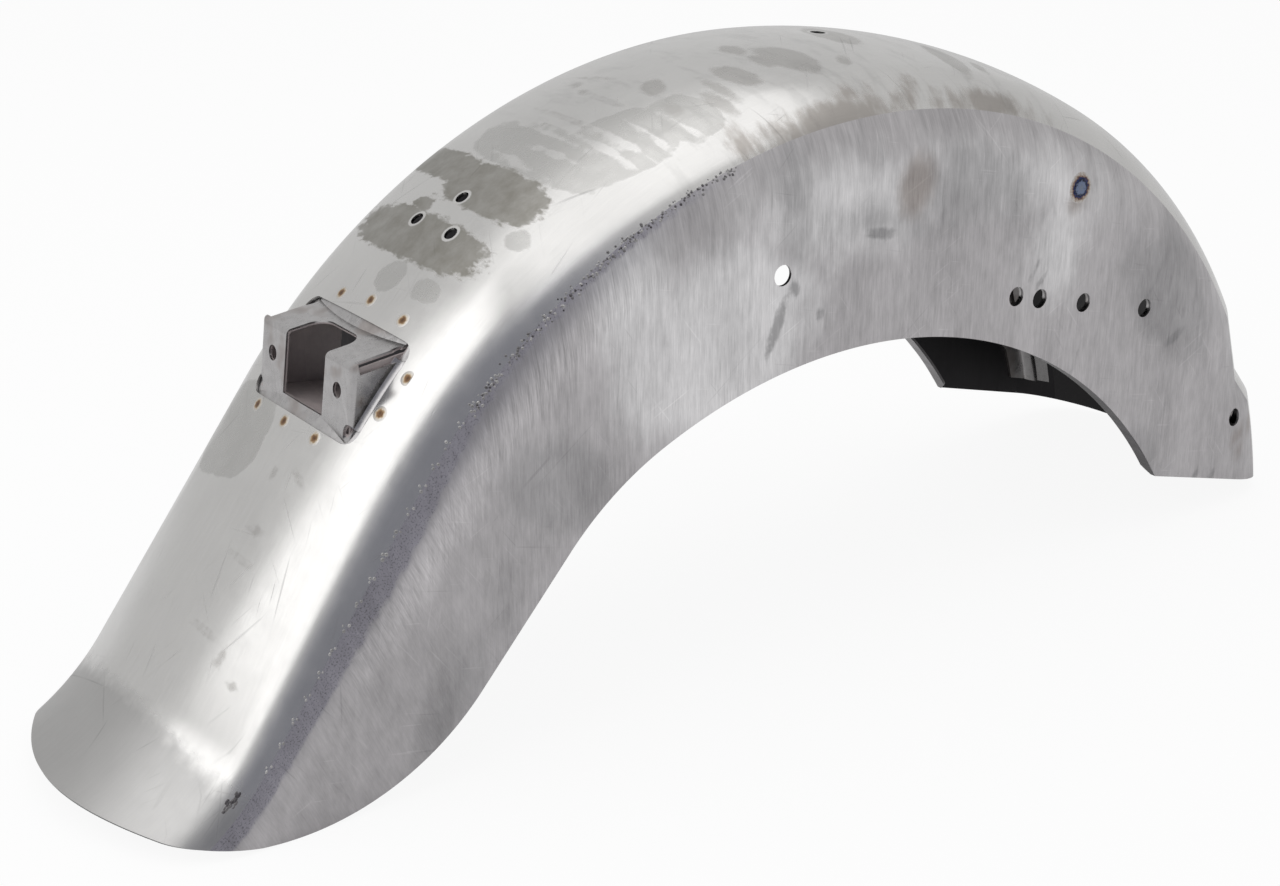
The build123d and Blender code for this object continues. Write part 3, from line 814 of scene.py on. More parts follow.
@dataclass
class CrownPanel:
    """Pressed crown from the front edge to the flipped tail, with its bolt holes and light opening."""

    seat_angle: float = 100.3
    seat_r: float = 4.0
    trio_angle: float = 137.5
    trio_drop: float = 19.4
    trio_spread: float = 30.0
    trio_r: float = 3.5
    open_width: float = 95.0
    open_length: float = 54.2
    open_corner: float = 8.0
    rim_width: float = 1.5
    pitch: float = 3.0
    bow_columns: int = 41
    shoulder_columns: int = 17

    def holes(self) -> list[Punch]:
        """Openings through the crown."""
        seat = Punch(CrownMap(self.seat_angle), self.seat_r, self.seat_r, self.seat_r)
        trio = CrownMap(self.trio_angle)
        spots = ((0.0, 0.0), (-self.trio_spread / 2, self.trio_drop), (self.trio_spread / 2, self.trio_drop))
        bolts = [Punch(trio, self.trio_r, self.trio_r, self.trio_r, a, b) for a, b in spots]
        halves = (self.open_width / 2, self.open_length / 2)
        light = Punch(CrownMap(FORM.light_angle), *halves, self.open_corner, rings=2)
        return [seat, *bolts, light]

    def build(self) -> bpy.types.Object:
        """Make the sheet: rows along the crown line, columns across the bow and both shoulders."""
        blend, seam = FORM.plain.blend, FORM.seam_slope
        bow = np.linspace(-blend, blend, self.bow_columns)
        shoulder = np.linspace(blend, seam, self.shoulder_columns)[1:]
        columns = np.concatenate([-shoulder[::-1], bow, shoulder])
        rows = stage_rows(FORM.front_run(columns), FORM.stations(), FORM.tail_end(columns), self.pitch)
        skin = Skin(rows, np.broadcast_to(columns, rows.shape))
        for hole in self.holes():
            skin.punch(hole)
        marks = CrownMarks().depths(skin.run, skin.slope)
        return closed_sheet(skin, {**marks, "rim": self.rims(skin)}).piece("crown_sheet")

    def rims(self, skin: Skin) -> np.ndarray:
        """Depth inside the polished ring round each bolt hole: ring width less the distance to the hole."""
        depths = []
        for hole in self.holes()[:-1]:
            a, b = hole.plane.flatten(skin.run, skin.slope)
            depths.append(self.rim_width + hole.corner - np.hypot(a - hole.a, b - hole.b))
        return np.maximum(np.max(depths, axis=0), NO_MARK)

    def dress(self, piece: bpy.types.Object) -> None:
        """Finish the crown in satin bare steel."""
        set_piece(piece, Slot.CROWN, CrownSteel().material(), "crown_panel")


@dataclass
class SidePanel:
    """One side: lower shoulder and skirt down to the lower edge, with its lip and bolt holes."""

    hand: Hand
    hole_r: float = 5.25
    strut_x: tuple[float, ...] = (-129.7, 34.4, 52.7, 87.6, 138.9)
    strut_depth: float = 115.0
    strut_rise: float = 0.0158
    front_hole_depth: float = 44.1
    front_hole_angle: float = 35.57
    hole_margin: float = 3.4
    pitch: float = 3.0
    shoulder_columns: int = 13
    skirt_columns: int = 28
    arch_steps: int = 130
    haunch_steps: int = 40
    lip_shade: float = 0.6

    @property
    def label(self) -> str:
        """Side's name."""
        return self.hand.name.lower()

    def holes(self) -> list[Punch]:
        """Bolt holes: the strut row and the front hole."""
        level = FORM.crown_r - self.strut_depth
        spots = [(x, level + self.strut_rise * x) for x in self.strut_x]
        spots.append(tuple((FORM.crown_r - self.front_hole_depth) * unit(self.front_hole_angle)))
        sizes = (self.hole_r,) * 3
        return [Punch(SkirtMap(self.hand, *spot), *sizes, margin=self.hole_margin) for spot in spots]

    def build(self) -> bpy.types.Object:
        """Make the sheet: columns down the shoulder and then down the skirt to the lower edge."""
        shoulder = np.linspace(FORM.seam_slope, 90.0, self.shoulder_columns)
        knots = sorted([*FORM.stations(), FORM.corner_run()])
        rows = stage_rows(FORM.front_run(shoulder), knots, FORM.tail_end(shoulder), self.pitch)
        fall = np.linspace(0.0, 1.0, self.skirt_columns + 1)[1:]
        depth = FORM.skirt_depth(rows[:, -1])[:, None] * fall
        run = np.concatenate([rows, np.repeat(rows[:, -1:], fall.size, axis=1)], axis=1)
        slope = np.concatenate([np.broadcast_to(shoulder, rows.shape), 90.0 + depth], axis=1)
        if self.hand is Hand.RIGHT:
            run, slope = run[:, ::-1], -slope[:, ::-1]
        skin = Skin(run, slope)
        for hole in self.holes():
            skin.punch(hole)
        marks = SkirtMarks().depths(skin.run, skin.slope, self.hand)
        return closed_sheet(skin, marks).joined(self.lip()).piece(self.label + "_side_sheet")

    def lip(self) -> MeshData:
        """Lip turned inward along the arch and haunch, its front end cut at 45 degrees.

        A rectangle is carried along the two arcs; near the front end its inner edge stands back.
        """
        arch = unit(np.linspace(FORM.arch_front, FORM.arch_end, self.arch_steps))
        haunch = unit(np.linspace(FORM.arch_end, FORM.haunch_end, self.haunch_steps)[1:])
        way = np.concatenate([arch, haunch])
        foot = np.concatenate([FORM.arch_c + FORM.arch_r * arch, FORM.haunch_c + FORM.haunch_r * haunch])
        run = np.concatenate([[0.0], np.cumsum(np.linalg.norm(np.diff(foot, axis=0), axis=1))])
        back = FORM.lip - np.maximum(FORM.lip - 2 * FORM.sheet - run, 0.0)
        root = np.full_like(back, FORM.sheet / 2)
        hand = self.hand.value
        rails = [(root, 0.0), (back, 0.0), (back, FORM.sheet), (root, FORM.sheet)]
        points = np.stack(
            [FORM.place(foot + thick * way, hand * (FORM.half - inner)) for inner, thick in rails], axis=1
        )
        index = np.arange(points.shape[0] * 4).reshape(-1, 4)
        sides = cells(np.concatenate([index, index[:, :1]], axis=1)).reshape(-1, 4)
        faces = np.concatenate([sides, index[:1, ::-1], index[-1:]])
        if self.hand is Hand.LEFT:
            faces = faces[:, ::-1]
        angle = np.degrees(np.arctan2(foot[:, 1], foot[:, 0]))
        edge = FORM.run_at(np.repeat(angle, 4))
        depth = np.array(90.0 + FORM.arch_depth - FORM.plain.drop)
        flat = MM * np.stack([edge, np.full_like(edge, hand * FORM.plain.across(depth))], axis=-1)
        # The lip is marked 0.6, so it gets part of the inner side's painted shade.
        return MeshData(points.reshape(-1, 3), faces, flat, {"inner": np.full(edge.size, self.lip_shade)})

    def dress(self, piece: bpy.types.Object, material: bpy.types.Material) -> None:
        """Finish the side in ground bare steel."""
        set_piece(piece, Slot.SKIRT, material, self.label + "_side_panel")


class Graph:
    """Adds nodes to a node tree. An input given as a socket is linked, and a plain value is set."""

    def __init__(self, tree: bpy.types.NodeTree) -> None:
        """Work on one node tree."""
        self.tree = tree

    def node(self, kind: str, feeds: dict[str | int, Feed], **settings: object) -> bpy.types.Node:
        """Add a node with its settings and inputs.

        Args:
            kind: Node type without its ShaderNode prefix.
            feeds: Inputs by name or index.
            settings: Properties of the node.

        Returns:
            The node.
        """
        node = self.tree.nodes.new("ShaderNode" + kind)
        for key, value in settings.items():
            setattr(node, key, value)
        for key, value in feeds.items():
            self.feed(node.inputs[key], value)
        return node

    def feed(self, socket: Socket, value: Feed) -> None:
        """Link a socket to an input, or set the input's value."""
        if isinstance(value, bpy.types.NodeSocket):
            self.tree.links.new(value, socket)
        else:
            socket.default_value = value

    def math(self, operation: str, *values: Feed) -> Socket:
        """Result of a Math node."""
        return self.node("Math", dict(enumerate(values)), operation=operation).outputs[0]

    def chain(self, operation: str, *values: Feed) -> Socket:
        """Result of one operation carried through several values."""
        return reduce(partial(self.math, operation), values)

    def total(self, *values: Feed) -> Socket:
        """Sum of several values."""
        return self.chain("ADD", *values)

    def times(self, *values: Feed) -> Socket:
        """Product of several values."""
        return self.chain("MULTIPLY", *values)

    def step(self, value: Feed, low: Feed, high: Feed, first: float = 0.0, last: float = 1.0) -> Socket:
        """Smooth step from first to last as a value goes from low to high."""
        feeds = {0: value, 1: low, 2: high, 3: first, 4: last}
        return self.node("MapRange", feeds, interpolation_type="SMOOTHSTEP").outputs[0]

    def run_step(self, run: Socket, low: float, high: float, first: float = 0.0, last: float = 1.0) -> Socket:
        """Smooth step from first to last as the run goes from one angle about the wheel to another."""
        return self.step(run, MM * FORM.run_at(low), MM * FORM.run_at(high), first, last)

    def line(self, value: Feed, low: float, high: float, first: float, last: float) -> Socket:
        """Straight run from first to last as a value goes from low to high, held beyond."""
        return self.node("MapRange", {0: value, 1: low, 2: high, 3: first, 4: last}).outputs[0]

    def mix(self, share: Feed, under: Feed, over: Feed) -> Socket:
        """Colour between two, by a share of the second."""
        colours = {6: self.opaque(under), 7: self.opaque(over)}
        return self.node("Mix", {0: share, **colours}, data_type="RGBA").outputs[2]

    def shade(self, colour: Feed, value: Feed) -> Socket:
        """Colour times a value."""
        grey = self.node("CombineColor", {0: value, 1: value, 2: value}).outputs[0]
        feeds = {0: 1.0, 6: self.opaque(colour), 7: grey}
        return self.node("Mix", feeds, data_type="RGBA", blend_type="MULTIPLY").outputs[2]

    def opaque(self, colour: Feed) -> Feed:
        """Colour with full opacity, where it is a plain one."""
        return (*colour, 1.0) if isinstance(colour, tuple) else colour

    def noise(self, vector: Socket, scale: Feed, detail: float = 2.0, rough: float = 0.5) -> Socket:
        """Noise from 0 to 1."""
        feeds = {"Vector": vector, "Scale": scale, "Detail": detail, "Roughness": rough}
        return self.node("TexNoise", feeds).outputs[0]

    def stretched(self, vector: Socket, first: Feed, second: Feed, third: Feed = 0.0) -> Socket:
        """Vector with each of its parts multiplied."""
        factors = self.joined(first, second, third)
        return self.node("VectorMath", {0: vector, 1: factors}, operation="MULTIPLY").outputs[0]

    def turned(self, vector: Socket, angle: float) -> Socket:
        """Vector turned about its third axis by degrees."""
        feeds = {"Vector": vector, "Angle": math.radians(angle)}
        return self.node("VectorRotate", feeds, rotation_type="Z_AXIS").outputs[0]

    def parts(self, vector: Socket) -> list[Socket]:
        """The three parts of a vector."""
        return list(self.node("SeparateXYZ", {0: vector}).outputs)

    def joined(self, first: Feed, second: Feed, third: Feed = 0.0) -> Socket:
        """Vector of three parts."""
        return self.node("CombineXYZ", {0: first, 1: second, 2: third}).outputs[0]

    def sheet(self) -> Socket:
        """Flat map of the sheet: run and length across, in metres."""
        return self.node("UVMap", {}, uv_map="sheet").outputs[0]

    def place(self) -> Socket:
        """Object coordinates, which are rest-frame points in metres."""
        return self.node("TexCoord", {}).outputs["Object"]

    def value(self, name: str) -> Socket:
        """Point value of the mesh."""
        return self.node("Attribute", {}, attribute_name=name).outputs["Fac"]


class Effect:
    """Shared surface effect, built once as a node group with named inputs and outputs."""

    name = ""
    inputs: dict[str, float | tuple[float, ...]] = {}
    outputs: tuple[str, ...] = ()

    def wire(self, graph: Graph, given: dict[str, Socket]) -> dict[str, Socket]:
        """Build the group's inside from its inputs and return its outputs by name."""
        raise NotImplementedError

    def tree(self) -> bpy.types.NodeTree:
        """The node group, made when first asked for. An input whose default is a tuple is a vector."""
        known = bpy.data.node_groups.get(self.name)
        if known:
            return known
        tree = bpy.data.node_groups.new(self.name, "ShaderNodeTree")
        for key, default in self.inputs.items():
            kind = "NodeSocketVector" if isinstance(default, tuple) else "NodeSocketFloat"
            tree.interface.new_socket(key, in_out="INPUT", socket_type=kind).default_value = default
        for key in self.outputs:
            kind = "NodeSocketColor" if key == "Colour" else "NodeSocketFloat"
            tree.interface.new_socket(key, in_out="OUTPUT", socket_type=kind)
        entry, leave = tree.nodes.new("NodeGroupInput"), tree.nodes.new("NodeGroupOutput")
        given = {key: entry.outputs[key] for key in self.inputs}
        for key, socket in self.wire(Graph(tree), given).items():
            tree.links.new(socket, leave.inputs[key])
        return tree

    def use(self, graph: Graph, **feeds: Feed) -> Socket:
        """Place the group in a material and return its first output; inputs are named in small letters."""
        return self.place(graph, **feeds).outputs[0]

    def place(self, graph: Graph, **feeds: Feed) -> bpy.types.Node:
        """Place the group in a material with its own values."""
        node = graph.node("Group", {}, node_tree=self.tree())
        for key, value in feeds.items():
            graph.feed(node.inputs[key.capitalize()], value)
        return node


class GrindLines(Effect):
    """Fine lines left by an abrasive, along the second axis of the given vector."""

    name = "grind_lines"
    inputs = {"Vector": (0.0, 0.0, 0.0), "Density": 1500.0, "Length": 25.0}
    outputs = ("Lines",)

    def wire(self, graph: Graph, given: dict[str, Socket]) -> dict[str, Socket]:
        """Noise that is stretched along the lines, in two weights."""
        slow = graph.math("DIVIDE", given["Density"], given["Length"])
        fine = graph.noise(graph.stretched(given["Vector"], given["Density"], slow), 1.0, 3.0, 0.65)
        wide = graph.noise(graph.stretched(given["Vector"], given["Density"], slow), 0.31, 2.0, 0.5)
        return {"Lines": graph.total(graph.times(fine, 0.65), graph.times(wide, 0.35))}


class Mottle(Effect):
    """Cloudy unevenness of bare steel, broad and fine."""

    name = "steel_mottle"
    inputs = {"Vector": (0.0, 0.0, 0.0), "Scale": 15.0}
    outputs = ("Broad", "Fine")

    def wire(self, graph: Graph, given: dict[str, Socket]) -> dict[str, Socket]:
        """Two noises, the second several times finer."""
        broad = graph.noise(given["Vector"], given["Scale"], 3.0, 0.55)
        fine = graph.noise(given["Vector"], graph.times(given["Scale"], 6.3), 5.0, 0.62)
        return {"Broad": broad, "Fine": fine}


class RaggedPatch(Effect):
    """Patch whose border is frayed: a depth in millimetres, moved by noise, is cut at zero."""

    name = "ragged_patch"
    inputs = {"Depth": 0.0, "Vector": (0.0, 0.0, 0.0), "Fringe": 2.0, "Softness": 0.8, "Scale": 260.0}
    outputs = ("Mask",)

    def wire(self, graph: Graph, given: dict[str, Socket]) -> dict[str, Socket]:
        """Step of depth + fringe * (2 * noise - 1)."""
        fray = graph.noise(given["Vector"], given["Scale"], 4.0, 0.6)
        shift = graph.times(graph.math("MULTIPLY_ADD", fray, 2.0, -1.0), given["Fringe"])
        low = graph.math("MULTIPLY", given["Softness"], -1.0)
        return {"Mask": graph.step(graph.math("ADD", given["Depth"], shift), low, given["Softness"])}


class FineScratches(Effect):
    """Sparse hair scratches in several directions."""

    name = "fine_scratches"
    inputs = {"Vector": (0.0, 0.0, 0.0), "Scale": 220.0, "Cut": 0.68}
    outputs = ("Mask",)
    TURNS = ((12.0, 0.02), (64.0, 0.035), (-37.0, 0.028), (103.0, 0.05))

    def wire(self, graph: Graph, given: dict[str, Socket]) -> dict[str, Socket]:
        """Highest of noises above a cut, each turned and stretched its own way, thinned by a slow noise."""
        layers = []
        for angle, slow in self.TURNS:
            lengthwise = graph.times(given["Scale"], slow)
            thin = graph.stretched(graph.turned(given["Vector"], angle), given["Scale"], lengthwise)
            streak = graph.noise(thin, 1.0, 1.0, 0.4)
            layers.append(graph.step(streak, given["Cut"], graph.math("ADD", given["Cut"], 0.05)))
        thinned = graph.step(graph.noise(given["Vector"], 21.0, 2.0), 0.42, 0.62)
        return {"Mask": graph.times(graph.chain("MAXIMUM", *layers), thinned)}


class HeatTint(Effect):
    """Temper colours of a weld from its middle (0) to clean steel (1)."""

    name = "heat_tint"
    inputs = {"Reach": 1.0, "Blue": 0.0}
    outputs = ("Colour", "Mask")
    BROWNS = (
        (0.0, (0.10, 0.06, 0.04)),
        (0.34, (0.20, 0.12, 0.07)),
        (0.52, (0.36, 0.26, 0.16)),
        (0.66, (0.56, 0.51, 0.44)),
    )
    BLUES = (
        (0.0, (0.20, 0.23, 0.29)),
        (0.36, (0.17, 0.21, 0.32)),
        (0.5, (0.02, 0.02, 0.03)),
        (0.6, (0.03, 0.05, 0.14)),
        (0.7, (0.12, 0.055, 0.025)),
        (0.85, (0.34, 0.21, 0.12)),
    )

    def wire(self, graph: Graph, given: dict[str, Socket]) -> dict[str, Socket]:
        """One ramp of straw to brown and one of blue to brown, mixed by the Blue input."""
        ramps = [self.ramp(graph, given["Reach"], stops) for stops in (self.BROWNS, self.BLUES)]
        colour = graph.mix(given["Blue"], *ramps)
        return {"Colour": colour, "Mask": graph.step(given["Reach"], 0.62, 1.0, 1.0, 0.0)}

    def ramp(self, graph: Graph, reach: Socket, stops: tuple[tuple[float, Colour], ...]) -> Socket:
        """Colour ramp through given stops."""
        node = graph.node("ValToRGB", {0: reach})
        elements = node.color_ramp.elements
        while len(elements) < len(stops):
            elements.new(0.5)
        for element, (place, colour) in zip(elements, stops):
            element.position, element.color = place, (*colour, 1.0)
        return node.outputs[0]


class Pits(Effect):
    """Grit and pits of a ground weld: a height and a mask of dark pits."""

    name = "weld_pits"
    inputs = {"Vector": (0.0, 0.0, 0.0), "Scale": 900.0}
    outputs = ("Mask", "Height")

    def wire(self, graph: Graph, given: dict[str, Socket]) -> dict[str, Socket]:
        """Coarse noise cut low for the pits, with a finer one for the grit."""
        coarse = graph.noise(given["Vector"], given["Scale"], 2.0, 0.6)
        fine = graph.noise(given["Vector"], graph.times(given["Scale"], 2.7), 2.0, 0.6)
        pits = graph.step(coarse, 0.36, 0.46, 1.0, 0.0)
        return {"Mask": pits, "Height": graph.total(graph.times(coarse, 0.6), graph.times(fine, 0.4))}


# Painted shade: near-black colour given to the inner faces, where the inside of the fender lies in shadow.
INSIDE_PAINTED_SHADE = (0.026, 0.025, 0.027)
GRIND, MOTTLE, RAGGED, SCRATCH, HEAT, PITS = (
    GrindLines(), Mottle(), RaggedPatch(), FineScratches(), HeatTint(), Pits()
)


@dataclass(frozen=True)
class Fray:
    """Border of a mark: how far it frays and how soft it is, in millimetres, and its noise's scale."""

    fringe: float
    softness: float
    scale: float

    def mask(self, g: Graph, name: str, vector: Socket) -> Socket:
        """Mask of the named mark, from the depths that the mesh carries."""
        depth = g.value(name)
        sizes = {"fringe": self.fringe, "softness": self.softness, "scale": self.scale}
        return RAGGED.use(g, depth=depth, vector=vector, **sizes)


class Steel:
    """Bare steel: a new material whose Principled shader takes a colour, a roughness and a height."""

    def __init__(self, name: str) -> None:
        """Start a fully metallic material."""
        self.material = bpy.data.materials.new(name)
        self.material.use_nodes = True
        self.graph = Graph(self.material.node_tree)
        self.shader = self.material.node_tree.nodes["Principled BSDF"]
        self.shader.inputs["Metallic"].default_value = 1.0

    def finish(self, colour: Feed, roughness: Feed, height: Feed, depth: float) -> bpy.types.Material:
        """Link the surface to the shader; depth is the relief's height in metres."""
        self.graph.feed(self.shader.inputs["Base Color"], colour)
        self.graph.feed(self.shader.inputs["Roughness"], roughness)
        bump = self.graph.node("Bump", {"Height": height, "Strength": 1.0, "Distance": depth})
        self.graph.feed(self.shader.inputs["Normal"], bump.outputs[0])
        return self.material


@dataclass(frozen=True)
class CrownSteel:
    """Satin bare steel of the crown, with dried films, frayed stains and a duller flip."""

    clean: Colour = (0.63, 0.622, 0.61)
    film: Colour = (0.49, 0.484, 0.47)
    stain: Colour = (0.25, 0.24, 0.215)
    oval: Colour = (0.41, 0.40, 0.385)
    smear: Colour = (0.30, 0.27, 0.245)
    dull: Colour = (0.40, 0.395, 0.39)
    roughness: float = 0.22
    relief: float = 0.012
    stain_edge: Fray = Fray(4.5, 1.1, 330.0)
    film_edge: Fray = Fray(3.0, 0.7, 90.0)
    oval_edge: Fray = Fray(2.6, 1.5, 150.0)
    smear_edge: Fray = Fray(11.0, 5.0, 120.0)
    rim_edge: Fray = Fray(0.25, 0.3, 300.0)
    wash: float = 0.1
    wash_front: tuple[float, float] = (78.0, 88.0)
    wash_tail: tuple[float, float] = (133.0, 122.0)
    flip_start: float = 10.0
    flip_fade: float = 12.0
    flip_dip: float = 3.0
    flip_fray: float = 10.0
    flip_share: float = 0.85

    def material(self) -> bpy.types.Material:
        """Build the material: each mark darkens the steel and takes some gloss."""
        steel = Steel("crown_steel")
        g = steel.graph
        flat = g.sheet()
        run, across, _ = g.parts(flat)
        mottle = MOTTLE.place(g, vector=flat, scale=14.0)
        broad, fine = mottle.outputs["Broad"], mottle.outputs["Fine"]
        lines = GRIND.use(g, vector=g.joined(across, run), density=1700.0, length=22.0)
        scratch = SCRATCH.use(g, vector=flat, scale=420.0, cut=0.7)
        combed = g.stretched(flat, 1.0, 0.45)
        stain = self.stain_edge.mask(g, "stain", combed)
        film = self.film_edge.mask(g, "film", flat)
        oval = self.oval_edge.mask(g, "oval", flat)
        smear = self.smear_edge.mask(g, "smear", combed)
        dull = self.flip_mask(g, run, across, flat)
        colour = g.mix(g.times(film, g.line(fine, 0.3, 0.7, 0.75, 1.0)), self.clean, self.film)
        colour = g.mix(g.times(oval, 0.75), colour, self.oval)
        colour = g.mix(g.times(stain, g.line(fine, 0.3, 0.7, 0.72, 1.0)), colour, self.stain)
        colour = g.mix(g.times(smear, 0.7), colour, self.smear)
        colour = g.mix(dull, colour, self.dull)
        rim = self.rim_edge.mask(g, "rim", flat)
        colour = g.mix(g.times(rim, 0.9), colour, self.clean)
        tone = g.total(g.line(broad, 0.25, 0.75, 0.93, 1.05), g.line(lines, 0.3, 0.7, -0.03, 0.03))
        wash = g.step(g.noise(g.stretched(flat, 1.0, 0.28), 95.0, 5.0, 0.62), 0.5, 0.66)
        top = g.times(g.run_step(run, *self.wash_front), g.run_step(run, *self.wash_tail))
        worn = g.total(g.times(scratch, 0.16), g.times(wash, top, self.wash))
        colour = g.shade(colour, g.math("SUBTRACT", tone, worn))
        # Painted shade: the inner side is mixed towards near black.
        colour = g.mix(g.times(g.value("inner"), 0.95), colour, INSIDE_PAINTED_SHADE)
        matt = ((film, 0.05), (oval, 0.06), (stain, 0.15), (smear, 0.1), (dull, 0.2))
        uneven = g.line(fine, 0.3, 0.7, -0.03, 0.04)
        rough = g.total(self.roughness, *(g.times(*row) for row in matt), uneven, g.times(scratch, 0.08))
        height = g.total(g.times(lines, g.math("MULTIPLY_ADD", dull, 1.2, 0.35)), g.times(scratch, -0.6))
        return steel.finish(colour, rough, height, self.relief * MM)

    def flip_mask(self, g: Graph, run: Socket, across: Socket, flat: Socket) -> Socket:
        """Duller ground band along the flipped edge, with an uneven border that dips in the middle."""
        first = MM * (FORM.flip_run + self.flip_start)
        dip = g.times(g.math("COSINE", g.times(across, 42.0)), MM * self.flip_dip)
        fray = g.times(g.noise(flat, 160.0, 3.0), MM * self.flip_fray)
        dull = g.step(g.total(run, dip, fray), first, first + MM * self.flip_fade)
        return g.times(dull, self.flip_share)


@dataclass(frozen=True)
class SkirtSteel:
    """Ground bare steel of the sides: upright grind lines, smudges, patches of painted sheen and a gritty
    strip along the seam.
    """

    base: Colour = (0.475, 0.459, 0.467)
    dark: Colour = (0.30, 0.295, 0.30)
    bright: Colour = (0.74, 0.73, 0.735)
    brown: Colour = (0.27, 0.225, 0.20)
    strip: Colour = (0.37, 0.358, 0.395)
    roughness: float = 0.36
    relief: float = 0.02
    lean: float = 23.0
    smudge_edge: Fray = Fray(16.0, 9.0, 45.0)
    painted_sheen_edge: Fray = Fray(18.0, 14.0, 38.0)
    drip_edge: Fray = Fray(1.8, 1.2, 320.0)
    rust_edge: Fray = Fray(6.0, 5.0, 70.0)
    lean_x: tuple[float, float] = (-160.0, -270.0)
    strip_angles: tuple[float, float] = (118.0, 134.0)
    widen_angles: tuple[float, float] = (146.0, 166.0)
    strip_widths: tuple[float, float] = (3.5, 10.5)
    stroke_front: tuple[float, float] = (128.0, 146.0)
    stroke_tail: tuple[float, float] = (178.0, 164.0)

    def material(self) -> bpy.types.Material:
        """Build the material."""
        steel = Steel("skirt_steel")
        g = steel.graph
        spot = g.place()
        x, _, z = g.parts(spot)
        face = g.joined(x, z)
        flat = g.sheet()
        run, across, _ = g.parts(flat)
        mottle = MOTTLE.place(g, vector=g.stretched(face, 1.0, 0.4), scale=30.0)
        broad, fine = mottle.outputs["Broad"], mottle.outputs["Fine"]
        upright = GRIND.use(g, vector=face, density=1600.0, length=20.0)
        leaning = GRIND.use(g, vector=g.turned(face, -self.lean), density=1700.0, length=14.0)
        tailward = g.step(x, *(MM * edge for edge in self.lean_x))
        lines = g.total(g.times(upright, g.math("SUBTRACT", 1.0, tailward)), g.times(leaning, tailward))
        scratch = SCRATCH.use(g, vector=face, scale=620.0, cut=0.7)
        nick = SCRATCH.use(g, vector=g.turned(face, 41.0), scale=540.0, cut=0.715)
        strip, stroked = self.seam_strip(g, run, across, flat)
        pits = PITS.place(g, vector=flat, scale=1100.0)
        soft = g.stretched(face, 1.0, 0.5)
        smudge = self.smudge_edge.mask(g, "smudge", soft)
        painted_sheen = self.painted_sheen_edge.mask(g, "painted_sheen", soft)
        drip = self.drip_edge.mask(g, "drip", soft)
        rust = self.rust_edge.mask(g, "rust", soft)
        # Painted sheen: the skirt's colour is lightened towards a bright grey in patches.
        colour = g.mix(g.times(painted_sheen, 0.85), self.base, self.bright)
        colour = g.mix(g.times(smudge, 0.5), colour, self.dark)
        colour = g.mix(g.times(drip, 0.75), colour, self.dark)
        colour = g.mix(g.times(rust, 0.6), colour, self.brown)
        colour = g.mix(strip, colour, self.strip)
        calm = g.math("MULTIPLY_ADD", tailward, -0.45, 1.0)
        tone = g.total(
            g.line(broad, 0.3, 0.7, 0.88, 1.1), g.line(fine, 0.3, 0.7, -0.08, 0.08),
            g.times(g.line(lines, 0.3, 0.7, -0.16, 0.16), calm),
            g.times(stroked, g.line(lines, 0.4, 0.65, 0.02, 0.34)),
            g.times(scratch, 0.13), g.times(nick, -0.14),
            g.times(strip, pits.outputs["Mask"], -0.35), g.times(tailward, -0.09),
        )
        # Painted shade: the inner side is mixed towards near black.
        colour = g.mix(g.times(g.value("inner"), 0.95), g.shade(colour, tone), INSIDE_PAINTED_SHADE)
        rough = g.total(
            self.roughness, g.line(broad, 0.3, 0.7, 0.06, -0.05), g.line(lines, 0.3, 0.7, 0.06, -0.06),
            g.times(smudge, 0.06), g.times(strip, 0.2),
        )
        grit = g.times(pits.outputs["Height"], strip, 3.5)
        height = g.total(lines, g.times(scratch, -0.5), g.times(nick, -0.7), grit)
        return steel.finish(colour, rough, height, self.relief * MM)

    def seam_strip(self, g: Graph, run: Socket, across: Socket, flat: Socket) -> tuple[Socket, Socket]:
        """Gritty ground strip below the seam, fading up the arch, and the bright stroked band beside it."""
        seam = MM * float(FORM.plain.across(np.array(FORM.seam_slope)))
        away = g.math("SUBTRACT", g.math("ABSOLUTE", across), seam)
        wave = g.times(g.math("SUBTRACT", g.noise(flat, 130.0, 4.0), 0.5), 0.006)
        ragged = g.total(away, wave)
        width = g.run_step(run, *self.widen_angles, *(MM * width for width in self.strip_widths))
        inner, outer = g.math("SUBTRACT", width, 0.0012), g.math("ADD", width, 0.002)
        near = g.step(ragged, inner, outer, 1.0, 0.0)
        bloom = g.times(g.step(away, width, 0.014), g.step(ragged, 0.036, 0.02))
        ends = (g.run_step(run, *angles) for angles in (self.stroke_front, self.stroke_tail))
        return g.times(near, g.run_step(run, *self.strip_angles)), g.times(bloom, *ends)


@dataclass(frozen=True)
class EarFold:
    """Fold of the tail-light bracket between its ears and its shelf, in the wheel frame."""

    rise: float = 14.25
    angle: float = 153.65
    ear_normal: float = 188.0
    shelf_rise: float = 22.0

    @property
    def point(self) -> np.ndarray:
        """Side-view point of the fold."""
        return (FORM.crown_r + self.rise) * unit(self.angle)


EARS = EarFold()


